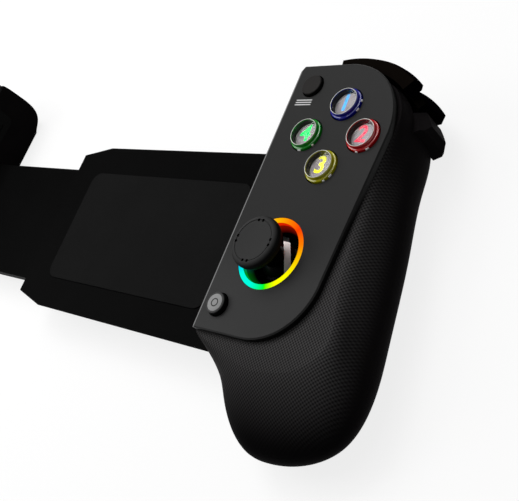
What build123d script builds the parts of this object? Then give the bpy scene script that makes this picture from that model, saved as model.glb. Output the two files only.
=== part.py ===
from build123d import *
import os
from math import cos, radians, sin

# Two-handed mobile game controller, lying on its back.
# X runs along its length, Y toward the shoulder buttons, Z out of the faceplates.
# The origin is on the rest surface, under the middle of the outline.
# Every grip piece is modelled for the right hand (positive X); the left ones are mirrored.

# Driving dimensions, millimetres
plate_gap = 166.0
grip_width = 48.0
grip_length = 104.0
bumper_stand_out = 3.2
shell_height = 22.7
shell_wall = 1.8
plate_thickness = 1.8
clearance = 0.3
running_fit = 0.05
overrun = 1.0

# Extents that follow; the places below hang from them
inner_x = plate_gap / 2
shell_low_y = -(grip_length + bumper_stand_out) / 2
shell_high_y = shell_low_y + grip_length
plate_top = shell_height + plate_thickness
roof_underside = shell_height - shell_wall
split_height = shell_height - 11.2

# Roundings of the moulded grip, as the largest draw-in of each side
side_round = 9.0
end_round = 18.0
top_round = 9.0
inner_round = 10.0
corner_round = 9.5

# Faceplate outline
plate_bottom = shell_high_y - 79.8
plate_top_edge = shell_high_y - 0.7
plate_corner_run = 1.0
plate_corner_drop = 1.8
plate_upper_radius = 20.9
plate_upper_centre_x = inner_x + 16.6
plate_lower_radius = 17.5
plate_lower_centre_x = inner_x + 17.3
plate_edge_chamfer = 0.35

# Places of the controls on the right grip; the left grip mirrors these places
low_place = (inner_x + 16.0, shell_high_y - 57.0)
high_place = (inner_x + 21.1, shell_high_y - 22.9)
menu_place = (inner_x + 7.0, shell_high_y - 7.6)
system_place = (inner_x + 6.05, shell_high_y - 72.75)
diamond_half_diagonal = 9.25

# Shoulder corner, the centre that bumper and trigger curve about
corner_x = inner_x + 16.65
corner_radius = 32.8
corner_y = shell_high_y + bumper_stand_out - corner_radius

# Board and stick heights above the rest surface
board_top = shell_height - 11.7
board_thickness = 1.6
board_underside = board_top - board_thickness
stick_pivot_height = shell_height - 6.7

# Bridge between the grips; its sides draw in toward the back
bridge_back = 4.0
bridge_front = shell_height - 10.2
bridge_split = bridge_back + 4.4
bridge_draft = 0.25
bridge_low_y = shell_high_y - 82.9
bridge_high_y = shell_high_y - 21.9
bridge_mid_y = (bridge_low_y + bridge_high_y) / 2
bridge_left_x = -18.9
bridge_corner_length = 14.0
bridge_corner_depth = 3.3
bridge_wall = 1.5
tongue_width = 44.0
tongue_length = 108.0

# Control sizes
face_button_radius = 4.65
face_button_rise = 2.0
menu_button_radius = 3.15
menu_button_rise = 1.0
system_button_radius = 3.0
system_button_rise = 1.5
ring_outer_radius = 9.88
ring_band = 1.35
stick_cap_radius = 7.1
stick_cap_rise = 7.3
pad_span = 21.0
pad_arm_width = 7.4
pad_rise = 2.2
pad_gap = 0.9

os.makedirs("parts", exist_ok=True)


def write(piece, name):
    piece.label = name
    export_step(piece, f"parts/{name}.step")


def write_mirrored(piece, name):
    write(mirror(piece, about=Plane.YZ), name)


# Moulded grip form

# Each row is one level of the grip, from the faceplate down to the back: its height share,
# then the shares of the side, end, top, inner and corner roundings that it is drawn in by.
level_shares = (
    (1.00, 0.72, 1.00, 0.04, 0.20, 0.02),
    (0.90, 0.42, 0.66, 0.01, 0.10, 0.00),
    (0.73, 0.15, 0.27, 0.00, 0.03, 0.00),
    (0.51, 0.00, 0.03, 0.00, 0.00, 0.00),
    (0.29, 0.09, 0.00, 0.07, 0.15, 0.12),
    (0.11, 0.44, 0.19, 0.37, 0.50, 0.46),
    (0.00, 1.00, 0.53, 1.00, 1.00, 1.00),
)

# Each row is a point of the widest outline, as shares of grip width and length, then how
# much of each rounding moves it: side and corner inward, end and top along Y, inner outward.
outline_shares = (
    (0.292, 1.000, 0.00, 0.00, 1.00, 0.00, 0.00),
    (0.594, 0.963, 0.00, 0.00, 0.75, 0.00, 0.45),
    (0.803, 0.851, 0.12, 0.00, 0.35, 0.00, 0.80),
    (0.842, 0.735, 0.60, 0.00, 0.12, 0.00, 0.35),
    (0.909, 0.560, 1.00, 0.00, 0.00, 0.00, 0.00),
    (0.979, 0.336, 1.00, 0.05, 0.00, 0.00, 0.00),
    (1.003, 0.189, 1.00, 0.45, 0.00, 0.00, 0.00),
    (0.935, 0.086, 0.80, 0.83, 0.00, 0.00, 0.00),
    (0.740, 0.021, 0.35, 0.96, 0.00, 0.00, 0.00),
    (0.540, 0.000, 0.00, 1.00, 0.00, 0.00, 0.00),
    (0.425, 0.003, 0.00, 0.97, 0.00, 0.30, 0.00),
    (0.270, 0.057, 0.00, 0.75, 0.00, 0.70, 0.00),
    (0.176, 0.124, 0.00, 0.43, 0.00, 0.90, 0.00),
    (0.000, 0.198, 0.00, 0.16, 0.00, 0.00, 0.00),
)
outline_start = (1, 0)
outline_end = (-0.75, 0.66)
outline_pull = (1.0, 0.5)
corner_slant = 0.6
inner_lift_share = 0.30

# The inner form's low inner corner is lifted by this share of the wall
wall_lift_share = 0.80
lifted_across = 0.3
lifted_along = 0.5


def level_points(level, wall):
    side = side_round * level[1] + wall
    end = end_round * level[2] + wall
    top = top_round * level[3] + wall
    inner = inner_round * level[4] + wall
    corner = corner_round * level[5] + wall
    points = []
    for across, along, by_side, by_end, by_top, by_inner, by_corner in outline_shares:
        slant = corner_slant * by_corner * corner
        x = inner_x + across * grip_width - by_side * side - slant + by_inner * inner
        y = shell_low_y + along * grip_length + by_end * end - by_top * top - slant
        if across < lifted_across and along < lifted_along:
            y = y + wall_lift_share * wall
        points.append((x, y))
    last_x, last_y = points[-1]
    points[-1] = (last_x + wall, last_y + inner_lift_share * inner)
    return points


def grip_form(wall):
    with BuildPart() as form:
        for level in level_shares:
            height = wall + level[0] * (shell_height - 2 * wall)
            points = level_points(level, wall)
            with BuildSketch(Plane.XY.offset(height)):
                with BuildLine():
                    Spline(points, tangents=(outline_start, outline_end), tangent_scalars=outline_pull)
                    Line(points[-1], (points[-1][0], points[0][1]))
                    Line((points[-1][0], points[0][1]), points[0])
                make_face()
        loft()
    return form.part


# Shoulder corner: bumper slot and trigger pocket

bumper_low = shell_height - 4.4
bumper_high = shell_height - 0.1
bumper_depth = 4.4
bumper_inner_radius = corner_radius - bumper_depth
bumper_start_angle = 49.0
bumper_sweep = 49.5
bumper_stroke_gap = 1.1
slot_inner_radius = bumper_inner_radius - bumper_stroke_gap
slot_start_angle = 47.5
slot_sweep = 52.5
pocket_inner_radius = 22.6
pocket_start_angle = 42.3
pocket_sweep = 46.4
pocket_wall = 1.0
wall_angle = 2.0
pocket_low = shell_height - 17.7
pocket_high = bumper_low - clearance - pocket_wall
trigger_mid_angle = pocket_start_angle + pocket_sweep / 2
trigger_sweep = 44.0
trigger_pin_reach = 25.6
trigger_pin_height = split_height
trigger_pin_radius = 1.0
trigger_pin_half_length = 12.0

# Lug at the bumper's inner end, for its pin
lug_depth = 2.6
lug_gap = 0.5
lug_start_angle = 91.0
lug_sweep = 7.0
lug_gap_angle = 1.5
lug_inner_radius = bumper_inner_radius - lug_depth
bumper_pin_radius = 1.0
bumper_pin_depth = 3.0
bumper_pin_angle = lug_start_angle + lug_sweep / 2
bumper_pin_reach = lug_inner_radius + 1.9

# Swelling of the shell that shields the trigger's low end
guard_inner_radius = 24.5
guard_outer_radius = 29.6
guard_low = pocket_low - 0.5
guard_high = pocket_high + 0.4
guard_start_angle = 28.5
guard_sweep = 13.0
guard_chamfer = 1.6


def corner_plane(angle):
    along = radians(angle)
    return Plane(
        origin=(corner_x, corner_y, 0),
        x_dir=(cos(along), sin(along), 0),
        z_dir=(sin(along), -cos(along), 0),
    )


corner_axis = Axis((corner_x, corner_y, 0), (0, 0, 1))


def corner_sector(inner_radius, outer_radius, low, high, start_angle, sweep):
    with BuildPart() as sector:
        with BuildSketch(corner_plane(start_angle)):
            with Locations(((inner_radius + outer_radius) / 2, (low + high) / 2)):
                Rectangle(outer_radius - inner_radius, high - low)
        revolve(axis=corner_axis, revolution_arc=sweep)
    return sector.part


def corner_point(reach, angle):
    along = radians(angle)
    return (corner_x + reach * cos(along), corner_y + reach * sin(along))


def trigger_plane(offset):
    """Plane square to the trigger pin: its X is radial, its Y is up."""
    along = radians(trigger_mid_angle)
    origin = (corner_x - offset * sin(along), corner_y + offset * cos(along), 0)
    return Plane(origin=origin, x_dir=(cos(along), sin(along), 0), z_dir=(sin(along), -cos(along), 0))


def trigger_pin_bore(radius):
    with BuildPart() as bore:
        with BuildSketch(trigger_plane(-trigger_pin_half_length)):
            with Locations((trigger_pin_reach, trigger_pin_height)):
                Circle(radius)
        extrude(amount=-2 * trigger_pin_half_length)
    return bore.part


def pocket_cut():
    return corner_sector(
        pocket_inner_radius, corner_radius + 3 * overrun, pocket_low, pocket_high,
        pocket_start_angle, pocket_sweep,
    )


def corner_keep():
    """Solid kept round the trigger pocket, the bumper slot and the lug, as walls of their own."""
    with BuildPart() as keep:
        add(corner_sector(
            pocket_inner_radius - pocket_wall, corner_radius + 3 * overrun, pocket_low - pocket_wall,
            pocket_high + pocket_wall, pocket_start_angle - wall_angle, pocket_sweep + 2 * wall_angle,
        ))
        add(corner_sector(
            slot_inner_radius - pocket_wall, corner_radius + 3 * overrun, pocket_high,
            shell_height, slot_start_angle - wall_angle, slot_sweep + 2 * wall_angle,
        ))
        add(corner_sector(
            lug_inner_radius - lug_gap - pocket_wall, corner_radius + 3 * overrun,
            bumper_low - bumper_pin_depth - pocket_wall, shell_height,
            lug_start_angle - lug_gap_angle - wall_angle, lug_sweep + 2 * lug_gap_angle + 2 * wall_angle,
        ))
    return keep.part


def slot_cut():
    with BuildPart() as slot:
        add(corner_sector(
            slot_inner_radius, corner_radius + 3 * overrun,
            bumper_low - clearance, shell_height + overrun, slot_start_angle, slot_sweep,
        ))
        add(corner_sector(
            lug_inner_radius - lug_gap, bumper_inner_radius, bumper_low - clearance, shell_height + overrun,
            lug_start_angle - lug_gap_angle, lug_sweep + 2 * lug_gap_angle,
        ))
    return slot.part


def corner_guard():
    middle = (guard_inner_radius + guard_outer_radius) / 2
    with BuildPart() as guard:
        with BuildSketch(corner_plane(guard_start_angle)):
            with BuildLine():
                Polyline(
                    (guard_inner_radius, guard_low), (middle, guard_low),
                    (guard_outer_radius, guard_low + guard_outer_radius - middle),
                    (guard_outer_radius, guard_high - guard_outer_radius + middle),
                    (middle, guard_high), (guard_inner_radius, guard_high), (guard_inner_radius, guard_low),
                )
            make_face()
        revolve(axis=corner_axis, revolution_arc=guard_sweep)
        chamfer(guard.edges().filter_by(Axis.Z).sort_by(Axis.X)[-1], guard_chamfer)
    return guard.part


# Screws that hold each grip's shells together

screw_places = (
    (inner_x + 12.5, shell_high_y - 12.9),
    (inner_x + 21.0, shell_low_y + 13.6),
    (inner_x + 33.8, shell_high_y - 41.9),
    (inner_x + 35.6, shell_low_y + 31.6),
)
screw_head_radius = 2.1
screw_head_height = 1.4
screw_shank_radius = 1.0
screw_seat_height = 4.6
screw_tip_height = shell_height - 5.7
boss_radius = 2.6

# Charging port in the top wall of the right grip
port_x = inner_x + 8.5
port_width = 9.0
port_height = 3.3
port_depth = 7.0
port_wall = 0.35
port_inset = 0.2
port_tongue_width = 6.3
port_tongue_height = 0.7
port_z = board_underside - 3.0
round_share = 0.49


def pad_cross(extra):
    with BuildSketch() as cross:
        with Locations(low_place):
            Rectangle(pad_span + 2 * extra, pad_arm_width + 2 * extra)
            Rectangle(pad_arm_width + 2 * extra, pad_span + 2 * extra)
    return cross.sketch


def port_cut():
    with BuildPart() as cut:
        with BuildSketch(Plane.XZ.offset(-shell_high_y - overrun)):
            with Locations((port_x, port_z)):
                RectangleRounded(
                    port_width + 2 * clearance, port_height + 2 * clearance,
                    round_share * port_height,
                )
        extrude(amount=port_depth)
    return cut.part


def grip_shells(holes, with_pad, with_port):
    """The front and back shells, with the openings that one grip's controls need."""
    with BuildPart() as hollow:
        add(grip_form(shell_wall))
        add(corner_keep(), mode=Mode.SUBTRACT)
        for place in screw_places:
            with BuildSketch(Plane.XY):
                with Locations(place):
                    Circle(boss_radius)
            extrude(amount=shell_height, mode=Mode.SUBTRACT)
    with BuildPart() as housing:
        add(grip_form(0))
        add(corner_guard())
        add(hollow.part, mode=Mode.SUBTRACT)
        add(pocket_cut(), mode=Mode.SUBTRACT)
        add(slot_cut(), mode=Mode.SUBTRACT)
        add(trigger_pin_bore(trigger_pin_radius + running_fit), mode=Mode.SUBTRACT)
        with BuildSketch(Plane.XY.offset(bumper_low - bumper_pin_depth)):
            with Locations(corner_point(bumper_pin_reach, bumper_pin_angle)):
                Circle(bumper_pin_radius + running_fit)
        extrude(amount=bumper_pin_depth + overrun, mode=Mode.SUBTRACT)
        for x, y, radius in holes:
            with BuildSketch(Plane.XY.offset(roof_underside - overrun)):
                with Locations((x, y)):
                    Circle(radius)
            extrude(amount=shell_wall + 2 * overrun, mode=Mode.SUBTRACT)
        if with_pad:
            with BuildSketch(Plane.XY.offset(roof_underside - overrun)):
                add(pad_cross(pad_gap))
            extrude(amount=shell_wall + 2 * overrun, mode=Mode.SUBTRACT)
        for place in screw_places:
            with BuildSketch(Plane.XY.offset(-overrun)):
                with Locations(place):
                    Circle(screw_head_radius + clearance)
            extrude(amount=screw_seat_height + overrun, mode=Mode.SUBTRACT)
            with BuildSketch(Plane.XY):
                with Locations(place):
                    Circle(screw_shank_radius + running_fit)
            extrude(amount=screw_tip_height + clearance, mode=Mode.SUBTRACT)
        if with_port:
            add(port_cut(), mode=Mode.SUBTRACT)
    with BuildPart() as front:
        add(housing.part)
        split(bisect_by=Plane.XY.offset(split_height), keep=Keep.TOP)
    with BuildPart() as back:
        add(housing.part)
        split(bisect_by=Plane.XY.offset(split_height), keep=Keep.BOTTOM)
    return front.part, back.part


def faceplate(holes, with_pad):
    upper_centre_y = plate_top_edge - plate_upper_radius
    lower_centre_y = plate_bottom + plate_lower_radius
    upper_right = (plate_upper_centre_x + plate_upper_radius, upper_centre_y)
    lower_right = (plate_lower_centre_x + plate_lower_radius, lower_centre_y)
    half_turn_share = 0.7071
    with BuildPart() as plate:
        with BuildSketch(Plane.XY.offset(shell_height)):
            with BuildLine():
                Polyline(
                    (inner_x, plate_bottom), (inner_x, plate_top_edge - plate_corner_drop),
                    (inner_x + plate_corner_run, plate_top_edge), (plate_upper_centre_x, plate_top_edge),
                )
                ThreePointArc(
                    (plate_upper_centre_x, plate_top_edge),
                    (
                        plate_upper_centre_x + half_turn_share * plate_upper_radius,
                        upper_centre_y + half_turn_share * plate_upper_radius,
                    ),
                    upper_right,
                )
                Line(upper_right, lower_right)
                ThreePointArc(
                    lower_right,
                    (
                        plate_lower_centre_x + half_turn_share * plate_lower_radius,
                        lower_centre_y - half_turn_share * plate_lower_radius,
                    ),
                    (plate_lower_centre_x, plate_bottom),
                )
                Line((plate_lower_centre_x, plate_bottom), (inner_x, plate_bottom))
            make_face()
        extrude(amount=plate_thickness)
        chamfer(plate.faces().sort_by(Axis.Z)[-1].edges(), plate_edge_chamfer)
        for x, y, radius in holes:
            with BuildSketch(Plane.XY.offset(shell_height - overrun)):
                with Locations((x, y)):
                    Circle(radius)
            extrude(amount=plate_thickness + 2 * overrun, mode=Mode.SUBTRACT)
        if with_pad:
            with BuildSketch(Plane.XY.offset(shell_height - overrun)):
                add(pad_cross(pad_gap))
            extrude(amount=plate_thickness + 2 * overrun, mode=Mode.SUBTRACT)
    return plate.part


# Round controls

face_places = (
    ("top", (high_place[0], high_place[1] + diamond_half_diagonal)),
    ("right", (high_place[0] + diamond_half_diagonal, high_place[1])),
    ("bottom", (high_place[0], high_place[1] - diamond_half_diagonal)),
    ("left", (high_place[0] - diamond_half_diagonal, high_place[1])),
)
button_foot = shell_height - 7.7
button_flange = 0.8
flange_height = 1.1
flange_top = roof_underside - 0.4
lens_radius = 3.85
lens_depth = 2.5
button_edge_round = 0.4
dome_height = 2.9
dome_radius = 3.1
dome_top_radius = 1.86


def round_button(place, radius, rise):
    with BuildPart() as button:
        with BuildSketch(Plane.XY.offset(button_foot)):
            with Locations(place):
                Circle(radius)
        extrude(amount=plate_top + rise - button_foot)
        fillet(button.faces().sort_by(Axis.Z)[-1].edges(), button_edge_round)
        with BuildSketch(Plane.XY.offset(flange_top - flange_height)):
            with Locations(place):
                Circle(radius + button_flange)
        extrude(amount=flange_height)
        with BuildSketch(Plane.XY.offset(button_foot)):
            with Locations(place):
                Circle(radius - shell_wall)
        extrude(amount=flange_top - flange_height - button_foot, mode=Mode.SUBTRACT)
    return button.part


def face_core(place):
    with BuildPart() as core:
        add(round_button(place, face_button_radius, face_button_rise))
        with BuildSketch(Plane.XY.offset(plate_top + face_button_rise - lens_depth)):
            with Locations(place):
                Circle(lens_radius + running_fit)
        extrude(amount=lens_depth + overrun, mode=Mode.SUBTRACT)
    return core.part


def face_lens(place):
    with BuildPart() as lens:
        with BuildSketch(Plane.XY.offset(plate_top + face_button_rise - lens_depth)):
            with Locations(place):
                Circle(lens_radius)
        extrude(amount=lens_depth)
        fillet(lens.faces().sort_by(Axis.Z)[-1].edges(), button_edge_round / 2)
    return lens.part


# Light ring around a stick: a flat band, a short wall inside it and a funnel down to the stick

ring_flange = 0.5
ring_flange_height = 1.05
ring_wall_height = 1.3
ring_wall_lean = 0.1
ring_well_radius = 7.0
ring_well_drop = 4.2
ring_foot_width = 0.9
ring_foot_height = 0.4


def light_ring(place):
    top = plate_top - running_fit
    underside = roof_underside - running_fit
    inner = place[0] + ring_outer_radius - ring_band
    outer = place[0] + ring_outer_radius
    well = place[0] + ring_well_radius
    with BuildPart() as ring:
        with BuildSketch(Plane.XZ.offset(-place[1])):
            with BuildLine():
                Polyline(
                    (inner, top), (outer, top), (outer, underside), (outer + ring_flange, underside),
                    (outer + ring_flange, underside - ring_flange_height),
                    (well + ring_foot_width, plate_top - ring_well_drop - ring_foot_height),
                    (well, plate_top - ring_well_drop),
                    (inner - ring_wall_lean, top - ring_wall_height), (inner, top),
                )
            make_face()
        revolve(axis=Axis((place[0], place[1], 0), (0, 0, 1)))
    return ring.part


# Thumbstick: housing on the board, two-axis gimbal, stem with its dome, and cap

module_half = 7.5
module_inner_half = 5.9
module_rise = 1.5
module_floor = 0.6
yoke_half = 4.6
yoke_inner_half = 2.9
yoke_half_height = 1.4
yoke_trunnion_radius = 1.0
yoke_trunnion_reach = 7.0
rocker_half = 2.2
rocker_half_height = 1.2
rocker_trunnion_radius = 0.8
rocker_trunnion_reach = 4.3
stem_radius = 1.4
stem_foot_drop = 3.0
dome_outer_radius = 7.0
dome_wall = 1.0
dome_half_angle = 46.0
neck_radius = 3.0
cap_underside_rise = 3.6
cap_dish = 0.6
cap_socket_radius = 2.2
cap_socket_height = 2.4


def stick_module(place):
    with BuildPart() as module:
        with BuildSketch(Plane.XY.offset(board_top)):
            with Locations(place):
                Rectangle(2 * module_half, 2 * module_half)
        extrude(amount=stick_pivot_height + module_rise - board_top)
        fillet(module.edges().filter_by(Axis.Z), shell_wall / 2)
        with BuildSketch(Plane.XY.offset(board_top + module_floor)):
            with Locations(place):
                Rectangle(2 * module_inner_half, 2 * module_inner_half)
        extrude(amount=shell_height, mode=Mode.SUBTRACT)
        with BuildSketch(Plane.YZ.offset(place[0] - module_half - overrun)):
            with Locations((place[1], stick_pivot_height)):
                Circle(yoke_trunnion_radius + running_fit)
        extrude(amount=2 * module_half + 2 * overrun, mode=Mode.SUBTRACT)
    return module.part


def stick_yoke(place):
    with BuildPart() as yoke:
        with BuildSketch(Plane.XY.offset(stick_pivot_height - yoke_half_height)):
            with Locations(place):
                Rectangle(2 * yoke_half, 2 * yoke_half)
                Rectangle(2 * yoke_inner_half, 2 * yoke_inner_half, mode=Mode.SUBTRACT)
        extrude(amount=2 * yoke_half_height)
        for side in (-1, 1):
            with BuildSketch(Plane.YZ.offset(place[0] + side * (yoke_half + yoke_inner_half) / 2)):
                with Locations((place[1], stick_pivot_height)):
                    Circle(yoke_trunnion_radius)
            extrude(amount=side * (yoke_trunnion_reach - (yoke_half + yoke_inner_half) / 2))
        with BuildSketch(Plane.XZ.offset(-place[1] - yoke_half - overrun)):
            with Locations((place[0], stick_pivot_height)):
                Circle(rocker_trunnion_radius + running_fit)
        extrude(amount=2 * yoke_half + 2 * overrun, mode=Mode.SUBTRACT)
    return yoke.part


def stick_rocker(place):
    with BuildPart() as rocker:
        with BuildSketch(Plane.XZ.offset(-place[1] - rocker_trunnion_reach)):
            with Locations((place[0], stick_pivot_height)):
                Circle(rocker_trunnion_radius)
        extrude(amount=2 * rocker_trunnion_reach)
        with BuildSketch(Plane.XY.offset(stick_pivot_height - rocker_half_height)):
            with Locations(place):
                Rectangle(2 * rocker_half, 2 * rocker_half)
        extrude(amount=2 * rocker_half_height)
        with BuildSketch(Plane.XY.offset(stick_pivot_height - rocker_half_height)):
            with Locations(place):
                Circle(stem_radius + running_fit)
        extrude(amount=2 * rocker_half_height, mode=Mode.SUBTRACT)
    return rocker.part


def stick_stem(place):
    dome_inner = dome_outer_radius - dome_wall
    tilt = radians(dome_half_angle)
    half_tilt = radians(dome_half_angle / 2)
    x = place[0]
    z = stick_pivot_height
    cap_underside = plate_top + cap_underside_rise
    with BuildPart() as stem:
        with BuildSketch(Plane.XZ.offset(-place[1])):
            with BuildLine():
                outer = ThreePointArc(
                    (x, z + dome_outer_radius),
                    (x + dome_outer_radius * sin(half_tilt), z + dome_outer_radius * cos(half_tilt)),
                    (x + dome_outer_radius * sin(tilt), z + dome_outer_radius * cos(tilt)),
                )
                inner = ThreePointArc(
                    (x + dome_inner * sin(tilt), z + dome_inner * cos(tilt)),
                    (x + dome_inner * sin(half_tilt), z + dome_inner * cos(half_tilt)),
                    (x, z + dome_inner),
                )
                Line(outer @ 1, inner @ 0)
                Line(inner @ 1, outer @ 0)
            make_face()
        revolve(axis=Axis((x, place[1], 0), (0, 0, 1)))
        with BuildSketch(Plane.XY.offset(z + dome_inner)):
            with Locations(place):
                Circle(neck_radius)
        extrude(amount=cap_underside - z - dome_inner)
        with BuildSketch(Plane.XY.offset(z - stem_foot_drop)):
            with Locations(place):
                Circle(stem_radius)
        extrude(amount=stem_foot_drop + dome_inner + dome_wall / 2)
        with BuildSketch(Plane.XY.offset(cap_underside - dome_wall)):
            with Locations(place):
                Circle(cap_socket_radius)
        extrude(amount=dome_wall + cap_socket_height)
    return stem.part


def stick_cap(place):
    x = place[0]
    under = plate_top + cap_underside_rise
    top = plate_top + stick_cap_rise
    rim = stick_cap_radius
    dish_half = 0.74 * rim
    dish_radius = (dish_half**2 + cap_dish**2) / (2 * cap_dish)
    dish_rise = dish_radius - (dish_radius**2 - (dish_half / 2) ** 2) ** 0.5
    with BuildPart() as cap:
        with BuildSketch(Plane.XZ.offset(-place[1])):
            with BuildLine():
                Line((x, under), (x + 0.77 * rim, under))
                under_curve = ThreePointArc(
                    (x + 0.77 * rim, under), (x + 0.93 * rim, under + 0.2 * (top - under)),
                    (x + rim, under + 0.47 * (top - under)),
                )
                side = Line(under_curve @ 1, (x + rim, under + 0.55 * (top - under)))
                crown = ThreePointArc(
                    side @ 1, (x + 0.955 * rim, under + 0.84 * (top - under)), (x + 0.82 * rim, top),
                )
                lip = Line(crown @ 1, (x + 0.74 * rim, top))
                dish = ThreePointArc(
                    lip @ 1, (x + dish_half / 2, top - cap_dish + dish_rise), (x, top - cap_dish),
                )
                Line(dish @ 1, (x, under))
            make_face()
        revolve(axis=Axis((x, place[1], 0), (0, 0, 1)))
        with BuildSketch(Plane.XY.offset(under)):
            with Locations(place):
                Circle(cap_socket_radius + running_fit)
        extrude(amount=cap_socket_height + running_fit, mode=Mode.SUBTRACT)
    return cap.part


# Direction pad of the left grip, on its ball pivot

pad_pivot_height = shell_height - 5.3
pad_ball_radius = 2.2
pad_post_radius = 1.32
pad_cup_radius = 3.8
pad_dish_depth = 0.7
pad_flange_radius = 12.0
pad_flange_top = roof_underside - 1.2
pad_arm_round = 0.9
pad_dish_radius = 34.0


def direction_pad():
    with BuildPart() as pad:
        with BuildSketch(Plane.XY.offset(pad_flange_top)):
            add(pad_cross(0))
        extrude(amount=plate_top + pad_rise - pad_flange_top)
        fillet(pad.edges().filter_by(Axis.Z), pad_arm_round)
        dish_height = plate_top + pad_rise + pad_dish_radius - pad_dish_depth
        with Locations((low_place[0], low_place[1], dish_height)):
            Sphere(pad_dish_radius, mode=Mode.SUBTRACT)
        with BuildSketch(Plane.XY.offset(pad_flange_top - flange_height)):
            with Locations(low_place):
                Circle(pad_flange_radius)
        extrude(amount=flange_height)
        with BuildSketch(Plane.XY.offset(pad_pivot_height)):
            with Locations(low_place):
                Circle(pad_cup_radius)
        extrude(amount=pad_flange_top - pad_pivot_height)
        with Locations((low_place[0], low_place[1], pad_pivot_height)):
            Sphere(pad_ball_radius + clearance, mode=Mode.SUBTRACT)
    return pad.part


def pad_pivot():
    with BuildPart() as pivot:
        with Locations((low_place[0], low_place[1], pad_pivot_height)):
            Sphere(pad_ball_radius)
        with BuildSketch(Plane.XY.offset(board_top + clearance)):
            with Locations(low_place):
                Circle(pad_post_radius)
        extrude(amount=pad_pivot_height - board_top - clearance)
    return pivot.part


# Boards, rubber mats, battery and port

board_margin = 2.5
board_right_x = inner_x + 33.0
board_low_y = shell_high_y - 82.4
board_ear_right_x = inner_x + 11.0
board_ear_high_y = shell_high_y - 4.4
mat_thickness = 0.8
mat_strip_width = 3.0
mat_strip_x = inner_x + 4.4
battery_low = shell_wall + clearance
battery_length = 28.0
battery_width = 22.0
battery_thickness = board_underside - battery_low - 2.3
battery_corner = 2.0
battery_edge = 0.8
battery_place = (inner_x + 17.5, shell_high_y - 56.4)


def board():
    left = inner_x + board_margin
    with BuildPart() as sheet:
        with BuildSketch(Plane.XY.offset(board_underside)):
            with Locations(((left + board_right_x) / 2, (board_low_y + corner_y) / 2)):
                Rectangle(board_right_x - left, corner_y - board_low_y)
            with Locations((corner_x, corner_y)):
                Circle(pocket_inner_radius - pocket_wall - 2 * clearance)
            with Locations(((left + board_right_x) / 2, 0)):
                Rectangle(board_right_x - left, 2 * grip_length, mode=Mode.INTERSECT)
            with Locations(((left + board_ear_right_x) / 2, board_ear_high_y / 2)):
                Rectangle(board_ear_right_x - left, board_ear_high_y)
            with Locations(screw_places):
                Circle(boss_radius + clearance, mode=Mode.SUBTRACT)
        extrude(amount=board_thickness)
    return sheet.part


def button_mat(dome_places, hub_place, strip_low_y):
    """Rubber sheet with a collapsing dome under each button, joined by strips."""
    strip_length = menu_place[1] - strip_low_y
    with BuildPart() as mat:
        with BuildSketch(Plane.XY.offset(board_top)):
            with Locations((mat_strip_x, strip_low_y + strip_length / 2)):
                Rectangle(mat_strip_width, strip_length)
            with Locations(dome_places):
                Circle(dome_radius + mat_thickness)
            if hub_place:
                with Locations(hub_place):
                    Rectangle(2 * diamond_half_diagonal, mat_strip_width)
                    Rectangle(mat_strip_width, 2 * diamond_half_diagonal)
                with Locations(((mat_strip_x + hub_place[0]) / 2, hub_place[1])):
                    Rectangle(hub_place[0] - mat_strip_x, mat_strip_width)
        extrude(amount=mat_thickness)
        for place in dome_places:
            with BuildSketch(Plane.XY.offset(board_top)):
                with Locations(place):
                    Circle(dome_radius)
            with BuildSketch(Plane.XY.offset(board_top + dome_height)):
                with Locations(place):
                    Circle(dome_top_radius)
            loft(ruled=True)
    return mat.part


# Clamp pad that the device's end presses on

clamp_pad_thickness = 1.4
clamp_pad_length = 62.0
clamp_pad_mid_y = shell_high_y - 41.4
clamp_low = shell_height - 9.7
clamp_high = shell_height - 1.1
clamp_round = 2.6
clamp_groove_pitch = 3.1
clamp_groove_length = 53.0
clamp_groove_depth = 0.5


def clamp_pad():
    with BuildPart() as pad:
        with BuildSketch(Plane.YZ.offset(inner_x)):
            with Locations((clamp_pad_mid_y, (clamp_low + clamp_high) / 2)):
                RectangleRounded(clamp_pad_length, clamp_high - clamp_low, clamp_round)
        extrude(amount=-clamp_pad_thickness)
        with BuildSketch(Plane.YZ.offset(inner_x - clamp_pad_thickness)):
            with Locations((clamp_pad_mid_y, (clamp_low + clamp_high) / 2)):
                with GridLocations(0, clamp_groove_pitch, 1, 2):
                    Rectangle(clamp_groove_length, clamp_groove_depth)
        extrude(amount=clamp_groove_depth, mode=Mode.SUBTRACT)
    return pad.part


# Shoulder controls

bumper_edge = 1.0
bumper_shoulder = 2.4


def bumper():
    outer = corner_radius
    with BuildPart() as bar:
        with BuildSketch(corner_plane(bumper_start_angle)):
            with BuildLine():
                Polyline(
                    (bumper_inner_radius, bumper_low), (outer - bumper_edge, bumper_low),
                    (outer, bumper_low + bumper_edge), (outer, bumper_high - bumper_shoulder),
                    (outer - bumper_shoulder / 8, bumper_high - bumper_shoulder / 2),
                    (outer - bumper_edge, bumper_high), (bumper_inner_radius, bumper_high),
                    (bumper_inner_radius, bumper_low),
                )
            make_face()
        revolve(axis=corner_axis, revolution_arc=bumper_sweep)
        add(corner_sector(
            lug_inner_radius, bumper_inner_radius + overrun, bumper_low, bumper_high - clearance,
            lug_start_angle, lug_sweep,
        ))
        with BuildSketch(Plane.XY.offset(bumper_low - overrun)):
            with Locations(corner_point(bumper_pin_reach, bumper_pin_angle)):
                Circle(bumper_pin_radius + running_fit)
        extrude(amount=0.7 * (bumper_high - bumper_low) + overrun, mode=Mode.SUBTRACT)
    return bar.part


def bumper_pin():
    with BuildPart() as pin:
        with BuildSketch(Plane.XY.offset(bumper_low - bumper_pin_depth)):
            with Locations(corner_point(bumper_pin_reach, bumper_pin_angle)):
                Circle(bumper_pin_radius)
        extrude(amount=0.65 * (bumper_high - bumper_low) + bumper_pin_depth)
    return pin.part


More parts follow.
